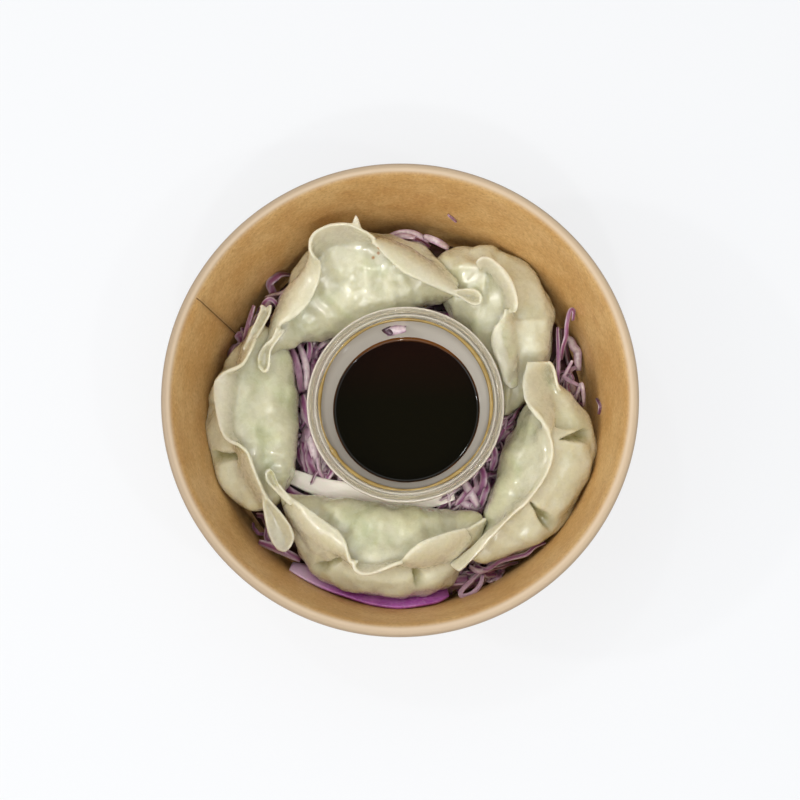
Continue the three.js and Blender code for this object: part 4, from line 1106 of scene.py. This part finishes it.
class DUMPLINGBOWL_OT_dumplings(Operator):
    """Makes the five folded dumplings with their pleats, frills and open ends"""
    bl_idname = "dumpling_bowl.dumplings"
    bl_label = "Dumplings"

    def execute(self, context):
        settings = context.scene.dumplings
        material = steamed_dough(settings)
        for seed, (place, shape) in enumerate(DUMPLINGS.items()):
            bm = dumpling_mesh(shape, settings, seed)
            finish_piece(f"{place}_dumpling", bm, material, [f"dumpling_{place}"])
        return {"FINISHED"}


# Red cabbage
# Each patch has the middle of its shreds, the way they run in degrees from +X, their length, how far
# they spread across and along, the height they reach and their number.

PATCHES = [
    {"at": (-29.5, 10), "way": 80, "length": 15, "across": 9, "along": 22, "up": 22, "count": 60},
    {"at": (-27, 19), "way": 60, "length": 11, "across": 7, "along": 12, "up": 22, "count": 26},
    {"at": (-30.5, -8), "way": 92, "length": 18, "across": 8, "along": 18, "up": 21, "count": 50},
    {"at": (-26, -20), "way": 70, "length": 12, "across": 9, "along": 12, "up": 19, "count": 24},
    {"at": (24, -25), "way": 48, "length": 16, "across": 11, "along": 26, "up": 23, "count": 70},
    {"at": (33, -8), "way": 62, "length": 12, "across": 5, "along": 16, "up": 20, "count": 26},
    {"at": (10, 32), "way": 150, "length": 12, "across": 7, "along": 18, "up": 20, "count": 24},
    {"at": (-18, 27), "way": 35, "length": 12, "across": 6, "along": 14, "up": 20, "count": 16},
    {"at": (57, 11), "way": 100, "length": 14, "across": 7, "along": 24, "up": 17, "count": 14},
    {"at": (2, 58), "way": 176, "length": 12, "across": 5, "along": 14, "up": 24, "count": 6},
    {"at": (-42, 45), "way": 50, "length": 14, "across": 8, "along": 22, "up": 22, "count": 8},
    {"at": (-57, 28), "way": 60, "length": 12, "across": 6, "along": 14, "up": 19, "count": 4},
    {"at": (30, -56), "way": 25, "length": 15, "across": 9, "along": 28, "up": 20, "count": 30},
    {"at": (-45, -46), "way": 128, "length": 14, "across": 8, "along": 18, "up": 17, "count": 3},
]
TRIES = 30
SHADES = (0.05, 0.2, 0.35, 0.45, 0.5, 0.55, 0.75, 0.8)

# Loose shreds that stand out of the heap or cling to the wall: line, width, shade from dark to pale.

LOOSE = [
    ([(52.9, 27.9, 24), (53, 20.7, 23), (53, 13.6, 21), (52.8, 6.9, 18)], 1.3, 0.42),
    ([(54, 17.5, 20), (54.2, 20.5, 25), (55.2, 24.1, 27), (55.5, 28, 28), (56.5, 32.2, 29), (57.7, 32.6, 29),
      (57.5, 29.4, 28)], 1.4, 0.5),
    ([(53.9, 9.6, 20), (55.7, 12.9, 24), (57.4, 15.9, 27)], 1.2, 0.75),
    ([(54.4, 11.5, 22), (56.6, 9.5, 24), (59.6, 7.6, 25)], 1.3, 0.6),
    ([(58.6, 3.5, 20), (59.5, 6.6, 24), (60.3, 8.1, 26), (60.9, 5.4, 25), (61.4, 1.3, 20)], 1.3, 0.8),
    ([(-49.6, 34.7, 30), (-51, 31.3, 28), (-52.4, 27.6, 26), (-54.1, 24, 22)], 1.6, 0.55),
    ([(-48.5, 34, 24), (-46.5, 35.8, 29), (-44.5, 36.9, 30), (-42.6, 35.8, 29), (-42, 34, 25)], 1.4, 0.5),
    ([(47.8, -44.8, 22), (44.1, -46.3, 23), (41.4, -48.6, 23), (37.1, -49.7, 23), (32.5, -51, 23),
      (28.2, -53.5, 23), (24.6, -52.2, 20)], 1.5, 0.5),
    ([(26.3, -54.1, 20), (23.2, -57.2, 21), (19.7, -60.9, 21), (20.2, -62.3, 21), (23.2, -61.5, 21),
      (26, -58.7, 21), (27.1, -55.1, 20)], 1.6, 0.6),
    ([(22.6, -52.4, 20), (25.5, -54.1, 22), (28.9, -53.1, 22), (31.6, -49.8, 21)], 1.8, 0.7),
    ([(14.6, -58.4, 18), (18, -57.3, 20), (22, -56.6, 19)], 3, 0.5),
    ([(65.7, 3.4, 23.4), (66.2, 0.5, 27), (65.9, -1.9, 24.8)], 1.1, 0.1),
    ([(15.8, 65.1, 32.5), (18.5, 63.7, 27.9)], 0.9, 0.55),
    ([(-5.9, 26.2, 36.5), (-4.3, 24.8, 36.8), (-2.6, 23.8, 36.5)], 3, -0.55),
    ([(-4.9, 24.0, 36), (-1.6, 24.8, 36.8), (1.7, 25.2, 36.5)], 3, 0.84),
    ([(-38.5, 22.9, 20), (-36.5, 18.1, 22), (-35.1, 12.6, 22), (-34.7, 6.8, 19)], 2.4, 0.55),
    ([(-35.9, 24.5, 19), (-33.5, 18.8, 22), (-32.4, 13.2, 22), (-32.9, 7.3, 20)], 2.2, 0.78),
    ([(-32.1, 25.5, 19), (-31.4, 20.8, 22), (-32.8, 15.5, 21)], 1.8, 0.5),
    ([(-33.9, 5.6, 20), (-32.6, -0.5, 22), (-30.9, -5.9, 21)], 2.6, 0.4),
    ([(-33.4, -6.4, 20), (-30.5, -12.1, 22), (-29.2, -17.3, 20)], 2.8, 0.8),
    ([(-27.3, -9.7, 19), (-24.3, -15.2, 22), (-21.4, -20.1, 20)], 2.4, 0.5),
    ([(20.2, -22.9, 20), (22.8, -27.8, 23), (25.5, -32.7, 21)], 2.8, 0.8),
    ([(25.6, -17.5, 20), (27.5, -22.5, 23), (26.2, -27.7, 21), (23.5, -30.2, 19)], 2.4, 0.5),
    ([(17.8, -29.2, 19), (21.4, -31.8, 22), (25.8, -33.3, 20)], 2.4, 0.75),
    ([(29.7, -10.0, 20), (31.3, -15.3, 22), (30.0, -20.2, 20)], 2.2, 0.45),
    ([(-48.0, -44.2, 22), (-41.6, -46.7, 22), (-34.4, -50.3, 19)], 2.6, 0.5),
    ([(-40.9, -24.6, 18), (-37.7, -27.5, 19.5), (-34.0, -29.5, 19), (-31.0, -29.7, 17.5)], 3, 0.3),
    ([(-41.7, -27.3, 17), (-39.0, -30.5, 19), (-35.7, -32.1, 18)], 2.6, 0.5),
    ([(-42.0, 36.1, 24), (-40.3, 38.2, 27), (-37.2, 41.5, 28), (-34.7, 43.6, 26)], 2.4, 0.5),
    ([(7.6, 59.4, 26), (11.7, 57.2, 27.5), (15.8, 55.6, 24)], 2.4, 0.8),
    ([(-4.4, 60.0, 24), (-0.2, 60.4, 27), (4.6, 59.9, 27), (9, 57.9, 24)], 2, 0.8),
    ([(-4.4, 58.8, 25), (0.1, 58.8, 28.5), (4.6, 58.3, 28)], 1.9, 0.75),
]
RIB_LINE = [(-39.5, -21.4, 16.5), (-28.0, -25.8, 17.6), (-17.8, -27.7, 18), (-4.2, -29.6, 18),
            (7.7, -30.0, 19), (17.4, -28.0, 20.5)]

# Rows of the broad leaf: edge on the wall x, y, z, edge under the dumpling x, y, z, bow.

LEAF_ROWS = [
    (-37.9, -53.6, 21, -37.2, -51.4, 17.5, 0.3), (-33, -56.7, 21.5, -31.4, -52.4, 16.5, 0.8),
    (-26.2, -59.9, 22, -26, -55.4, 15.5, 1), (-18.2, -62.7, 23, -18, -57, 15, 1),
    (-10.6, -65, 25, -10.4, -58.5, 15, 0.8), (-1.6, -66.2, 27, -2, -59.5, 15, 0.6),
    (6.5, -65.4, 25.5, 6, -59, 15, 1.2), (12, -64.3, 23, 11, -59, 15, 0.2),
    (15.5, -62.6, 19, 15, -60, 16.5, 0.4),
]
BED_FLOOR = 7.3
BED_TOP = 14.2
CORE_STEPS = 120
LOOSE_THICK, LOOSE_TWIST, LOOSE_CURL = 0.6, (35, -20), 0.2
RIB_WIDTH, RIB_THICK, RIB_TWIST, RIB_CURL = 6.8, 2.6, (-6, 6), 0.5
LEAF_THICK = 1.1


class CabbageSettings(PropertyGroup):
    seed: IntProperty(name="Seed", description="Start of the random draws", default=7)
    purple: colour("Purple", "Skin side of a shred", "84486f")
    # Dark is partly the skin's deep purple and partly painted shade, for shreds deep in the heap.
    dark: colour("Dark", "Shreds that lie deep in the heap", "432230")
    pale: colour("Pale", "Inner flesh of a shred", "d0bfc0")
    rib: colour("Rib", "White rib of the leaf", "e0d9cc")


def lay_strip(bm, line, width, thick, twist, steps, cuts=2, curl=0.0, mark=None):
    """A strip of leaf along a bent line, turning as it goes and cupped across by curl."""
    last = len(line) - 1
    rows = [(n / last, *point) for n, point in enumerate(line)]

    def middle(t, k):
        spot = Vector(between(rows, t))
        along = (Vector(between(rows, t + 0.01)) - Vector(between(rows, t - 0.01))).normalized()
        side = Vector((-along.y, along.x, 0)).normalized()
        side.rotate(Quaternion(along, math.radians(mix(*twist, t))))
        face = along.cross(side)
        taper = 1 - 0.35 * abs(2 * t - 1) ** 3
        spot += side * (width * taper * (k - 0.5)) + face * (curl * (2 * k - 1) ** 2)
        return spot, face

    lay_sheet(bm, middle, lambda t, k: thick / 2, steps, cuts, mark)


def cabbage_shreds(settings):
    """Raw red cabbage, sliced: purple skin, paler flesh at the cut edges, damp satin."""
    material, node, _, (vein, patch) = new_material("sliced red cabbage", (1.4, 4, 0.55), (5, 2, 0.55))
    shade, rim = (node("Attribute", output="Fac", attribute_name=name) for name in ("shade", "rim"))
    edge = paint(node, settings.pale, ((shade, 0.5, 0.75), "925a80"))
    share = node("MapRange", (rim, 0.3, 1, 0, 0.85))
    for fade in ((patch, 0.35, 0.6, 0.3, 1), (shade, -0.1, 0.05)):
        share = node("Math", (share, node("MapRange", fade)), operation="MULTIPLY")
    node("OutputMaterial", {"Surface": node("BsdfPrincipled", {
        # Near black at shade -1 is painted shade for the core; the dark tone above it is partly painted shade
        # of shreds deep in the heap.
        "Base Color": paint(node, "2e1517",
                            ((shade, -1, 0), settings.dark),
                            ((shade, 0, 0.3), settings.purple),
                            ((shade, 0.5, 0.8), settings.pale),
                            ((vein, 0.45, 0.7, 0, 0.35), "632f56"),
                            (share, edge),
                            ((shade, 0.9, 1), settings.rib)),
        "Roughness": 0.36,
        "Subsurface Weight": 0.25,
        "Subsurface Radius": (1.0, 0.5, 0.8),
        "Subsurface Scale": 0.001,
        "Coat Weight": 0.25,
        "Coat Roughness": 0.15,
        "Normal": relief(node, (vein, 0.08)),
    })})
    return material


def cabbage_leaf():
    """A broad outer leaf: bright violet wax with fine veins, whitish towards its cut end."""
    material, node, place, (vein, patch) = new_material("waxy cabbage leaf", (1.2, 5, 0.65), (6, 3, 0.55))
    along = node("SeparateXYZ", (place,), "X")
    uneven = node("Math", (patch, 14 * MM, along), operation="MULTIPLY_ADD")
    node("OutputMaterial", {"Surface": node("BsdfPrincipled", {
        "Base Color": paint(node, "a54ca6",
                            ((patch, 0.35, 0.65), "c87ac9"),
                            ((vein, 0.5, 0.72, 0, 0.5), "d0a3cf"),
                            ((uneven, -26 * MM, -14 * MM, 0.75, 0), "d9c4d2")),
        "Roughness": 0.34,
        "Subsurface Weight": 0.2,
        "Subsurface Radius": (1.0, 0.5, 0.9),
        "Subsurface Scale": 0.001,
        "Coat Weight": 0.3,
        "Coat Roughness": 0.2,
        "Normal": relief(node, (vein, 0.06)),
    })})
    return material


class DUMPLINGBOWL_OT_cabbage(Operator):
    """Makes the bed of shredded red cabbage with its rib and leaf pieces"""
    bl_idname = "dumpling_bowl.cabbage"
    bl_label = "Cabbage"

    def execute(self, context):
        settings = context.scene.cabbage
        material = cabbage_shreds(settings)
        bowl = context.scene.paper_bowl
        self.core(material, bowl)
        self.shreds(material, settings, bowl)
        rib = bmesh.new()
        lay_strip(rib, RIB_LINE, RIB_WIDTH, RIB_THICK, RIB_TWIST, 60, 6, RIB_CURL)
        self.finish_leaf("white_rib", rib, 1, material, "cabbage_rib")
        leaf = bmesh.new()
        lay_ribbon(leaf, LEAF_ROWS, LEAF_THICK)
        self.finish_leaf("purple_leaf", leaf, 0.5, cabbage_leaf(), "cabbage_leaf")
        return {"FINISHED"}

    def core(self, material, bowl):
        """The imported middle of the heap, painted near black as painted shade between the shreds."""
        bm = bmesh.new()
        edge = wall_radius(bowl, BED_TOP) - bowl.paper / MM - 0.4
        low = wall_radius(bowl, BED_FLOOR) - bowl.paper / MM - 2
        profile = [(0, BED_FLOOR), (low * 0.6, BED_FLOOR), (low, BED_FLOOR + 0.4)]
        profile.append((edge - 2.5, BED_TOP - 4.6))
        rings = (0.9, 0.84, 0.78, 0.7, 0.6, 0.5, 0.4, 0.3, 0.2, 0.1, 0)
        profile += [(edge * k, BED_TOP - 1.2) for k in rings]
        turn_profile(bm, profile, CORE_STEPS)
        shade = bm.verts.layers.float.new("shade")
        bm.verts.layers.float.new("rim")
        for vert in bm.verts:
            if vert.co.z > BED_TOP - 2:
                vert.co.z += 0.8 * noise.noise(vert.co / 4)
            # Shade -1 paints the core near black: painted shade between the shreds and the wall.
            vert[shade] = -1
        finish_piece("cabbage_core", bm, material, ["cabbage_bed"])

    def shreds(self, material, settings, bowl):
        """Shreds between the dumplings, the cup and the wall."""
        draw = random.Random(settings.seed)
        solids = [BVHTree.FromObject(bpy.data.objects[f"{place}_dumpling"],
                                     bpy.context.evaluated_depsgraph_get()) for place in DUMPLINGS]
        cup = bpy.context.scene.sauce_cup
        bm = bmesh.new()
        shade = bm.verts.layers.float.new("shade")
        rim = bm.verts.layers.float.new("rim")

        def outside(point):
            radius = math.hypot(point.x, point.y)
            if radius > wall_radius(bowl, point.z) - bowl.paper / MM - 0.9 or point.z < BED_FLOOR + 1:
                return True
            away = math.hypot(point.x - CUP_CENTRE[0], point.y - CUP_CENTRE[1])
            return away < cup_radius(cup, point.z) + 0.9

        def under(point):
            for solid in solids:
                spot, normal, _, distance = solid.find_nearest(point * MM)
                if (point * MM - spot).dot(normal) < 0.0004:
                    return True
            return False

        def lay(line, width, thick, twist, curl, shaded):
            def mark(vert, k):
                vert[shade] = shaded
                vert[rim] = abs(2 * k - 1)

            lay_strip(bm, line, width, thick, twist, 4 * len(line), 2, curl, mark)

        for patch in PATCHES:
            made = 0
            for _ in range(patch["count"] * TRIES):
                if made == patch["count"]:
                    break
                line, width, thick = self.draw_line(patch, draw)
                shaded = draw.choice(SHADES) + draw.uniform(-0.08, 0.08)
                twist = (draw.uniform(-75, 75), draw.uniform(-75, 75))
                curl = draw.uniform(-0.5, 0.5)
                if any(outside(point) for point in line) or sum(under(point) for point in line) > 2:
                    continue
                lay(line, width, thick, twist, curl, shaded)
                made += 1
        for line, width, shaded in LOOSE:
            lay(line, width, LOOSE_THICK, LOOSE_TWIST, LOOSE_CURL, shaded)
        bmesh.ops.remove_doubles(bm, verts=bm.verts, dist=1e-3)
        bmesh.ops.recalc_face_normals(bm, faces=bm.faces)
        finish_piece("cabbage_shreds", bm, material)

    def draw_line(self, patch, draw):
        """The bent middle line of one shred of a patch, with its width and thickness."""
        way = math.radians(patch["way"] + draw.gauss(0, 20))
        run = Vector((math.cos(way), math.sin(way), 0))
        side = Vector((-run.y, run.x, 0))
        reach = patch["length"] * draw.uniform(0.45, 1.1) / 2
        spine = math.radians(patch["way"])
        middle = Vector((*patch["at"], 0))
        middle += Vector((math.cos(spine), math.sin(spine), 0)) * patch["along"] * draw.uniform(-0.5, 0.5)
        middle += Vector((-math.sin(spine), math.cos(spine), 0)) * patch["across"] * draw.uniform(-0.5, 0.5)
        bow = draw.uniform(-0.25, 0.25) * patch["length"]
        high = mix(BED_TOP, patch["up"], draw.random() ** 1.3)
        tilt = draw.uniform(-0.3, 0.3)
        line = []
        for n in range(6):
            k = n / 2.5 - 1
            wave = Vector([draw.uniform(-0.7, 0.7) for _ in range(3)])
            spot = middle + run * (reach * k) + side * (bow * (1 - k * k))
            spot.z = mix(BED_TOP - 1, high, 1 - 0.75 * k * k) + tilt * reach * k
            line.append(spot + wave)
        return line, draw.uniform(0.8, 2.9), draw.uniform(0.5, 0.9)

    def finish_leaf(self, name, bm, shaded, material, node):
        """One broad piece of leaf on its own."""
        bmesh.ops.remove_doubles(bm, verts=bm.verts, dist=1e-3)
        bmesh.ops.recalc_face_normals(bm, faces=bm.faces)
        shade = bm.verts.layers.float.new("shade")
        bm.verts.layers.float.new("rim")
        for vert in bm.verts:
            vert[shade] = shaded
        finish_piece(name, bm, material, [node])


# Stage

class StageSettings(PropertyGroup):
    target: FloatVectorProperty(name="Target", description="Point that the camera looks at",
                                default=(0.000376, -0.001829, 0.06), unit="LENGTH")
    distance: length("Distance", "From the target to the camera", 0.45)
    azimuth: FloatProperty(name="Azimuth", description="Turn of the camera round the bowl",
                           default=math.radians(11.5), unit="ROTATION")
    elevation: FloatProperty(name="Elevation", description="Angle of the view above the table",
                             default=math.radians(81.89), unit="ROTATION")
    lens: FloatProperty(name="Lens", description="Focal length for a 36 mm sensor, in millimetres",
                        default=64.85)
    glow: FloatProperty(name="Glow", description="Light that the pale floor gives", default=0.675)
    backdrop: colour("Backdrop", "Pale floor", "7d7e80")


# Lamps: name, place, size, power. The small ones give the wet glints.

LAMPS = [
    ("front", (0.06, -0.36, 0.9), 0.5, 1.1),
    ("left", (-0.62, -0.16, 0.7), 0.5, 1.4),
    ("back", (-0.04, 0.42, 0.86), 0.4, 0.2),
    ("spark_front", (0.02, -0.45, 0.82), 0.05, 1.3),
    ("spark_left", (-0.66, 0.02, 0.66), 0.05, 1.2),
    ("spark_right", (0.42, -0.3, 0.85), 0.05, 0.85),
    ("spark_back", (-0.25, 0.3, 0.9), 0.05, 0.6),
]
OVERHEAD = 1.13
HORIZON = 0.45

# The way to the dark patch overhead that the level sauce mirrors to the camera.

SOY_MIRROR = (-0.028, 0.138, 0.99)


def matt_paper(settings):
    """Matt seamless paper, lit from behind: even and pale, with faint shadows."""
    material, node, *_ = new_material("matt seamless paper")
    node("OutputMaterial", {"Surface": node("BsdfPrincipled", {
        "Base Color": settings.backdrop,
        "Roughness": 0.9,
        "Specular IOR Level": 0.1,
        "Emission Color": (0.98, 0.99, 1, 1),
        "Emission Strength": settings.glow,
    })})
    return material


def add_light(name, place, aim, size, power):
    data = bpy.data.lights.new(name, "AREA")
    data.shape = "DISK"
    data.size = size
    data.energy = power
    light = bpy.data.objects.new(name, data)
    light.location = place
    light.rotation_euler = (Vector(place) - Vector(aim)).to_track_quat("Z", "Y").to_euler()
    bpy.context.scene.collection.objects.link(light)


class DUMPLINGBOWL_OT_stage(Operator):
    """Sets the camera, the soft light and the pale floor"""
    bl_idname = "dumpling_bowl.stage"
    bl_label = "Stage"

    def execute(self, context):
        settings = context.scene.stage
        scene = context.scene
        self.camera(scene, settings)
        bm = bmesh.new()
        bmesh.ops.create_grid(bm, x_segments=1, y_segments=1, size=2.0)
        mesh = bpy.data.meshes.new("floor")
        bm.to_mesh(mesh)
        bm.free()
        mesh.materials.append(matt_paper(settings))
        floor = bpy.data.objects.new("floor", mesh)
        scene.collection.objects.link(floor)
        for name, place, size, power in LAMPS:
            add_light(name, place, (0, 0, 0.03), size, power)
        world = bpy.data.worlds.new("studio")
        world.use_nodes = True
        tree = world.node_tree
        node = partial(add_node, tree)
        way = node("TexCoord", output="Generated")
        mirrored = node("VectorMath", (way, SOY_MIRROR), "Value", operation="DOT_PRODUCT")
        rise = node("SeparateXYZ", (way,), "Z")
        tent = node("Math", (node("MapRange", (rise, 0.35, 0.85, HORIZON, OVERHEAD)),
                             node("MapRange", (mirrored, 0.965, 0.985, 1, 0.1))), operation="MULTIPLY")
        tree.links.new(tent, tree.nodes["Background"].inputs["Strength"])
        tree.nodes["Background"].inputs["Color"].default_value = (1, 1, 1, 1)
        scene.world = world
        scene.view_settings.view_transform = "Standard"
        return {"FINISHED"}

    def camera(self, scene, settings):
        data = bpy.data.cameras.new("camera")
        data.lens = settings.lens
        data.sensor_width = 36
        data.clip_start = 0.01
        camera = bpy.data.objects.new("camera", data)
        turn, rise = settings.azimuth, settings.elevation
        back = Vector((math.sin(turn) * math.cos(rise), -math.cos(turn) * math.cos(rise), math.sin(rise)))
        north = Vector((0, 1, 0))
        above = (north - back * north.dot(back)).normalized()
        right = above.cross(back)
        frame_axes = Matrix((right, above, back)).transposed().to_4x4()
        spot = Vector(settings.target) + back * settings.distance
        camera.matrix_world = Matrix.Translation(spot) @ frame_axes
        scene.collection.objects.link(camera)
        scene.camera = camera


class DUMPLINGBOWL_PT_pieces(Panel):
    """Lists the bowl's pieces in the sidebar"""
    bl_idname = "DUMPLINGBOWL_PT_pieces"
    bl_label = "Dumpling bowl"
    bl_space_type = "VIEW_3D"
    bl_region_type = "UI"
    bl_category = "Dumpling bowl"

    def draw(self, context):
        for operator in OPERATORS:
            self.layout.operator(operator.bl_idname)
        for group in SETTINGS:
            box = self.layout.box()
            values = getattr(context.scene, group)
            for name in values.bl_rna.properties.keys():
                if name not in ("rna_type", "name"):
                    box.prop(values, name)


OPERATORS = (
    DUMPLINGBOWL_OT_stage,
    DUMPLINGBOWL_OT_paper_bowl,
    DUMPLINGBOWL_OT_sauce_cup,
    DUMPLINGBOWL_OT_soy_sauce,
    DUMPLINGBOWL_OT_dumplings,
    DUMPLINGBOWL_OT_cabbage,
)
SETTINGS = {
    "stage": StageSettings,
    "paper_bowl": PaperBowlSettings,
    "sauce_cup": SauceCupSettings,
    "dumplings": DumplingSettings,
    "cabbage": CabbageSettings,
}


def register():
    for kind in (*SETTINGS.values(), *OPERATORS, DUMPLINGBOWL_PT_pieces):
        bpy.utils.register_class(kind)
    for name, group in SETTINGS.items():
        setattr(bpy.types.Scene, name, PointerProperty(type=group))


def unregister():
    for name in SETTINGS:
        delattr(bpy.types.Scene, name)
    for kind in (DUMPLINGBOWL_PT_pieces, *reversed(OPERATORS), *reversed(SETTINGS.values())):
        bpy.utils.unregister_class(kind)


def main():
    register()
    bpy.ops.dumpling_bowl.stage()
    bpy.ops.dumpling_bowl.paper_bowl()
    bpy.ops.dumpling_bowl.sauce_cup()
    bpy.ops.dumpling_bowl.soy_sauce()
    bpy.ops.dumpling_bowl.dumplings()
    bpy.ops.dumpling_bowl.cabbage()


if __name__ == "__main__":
    main()
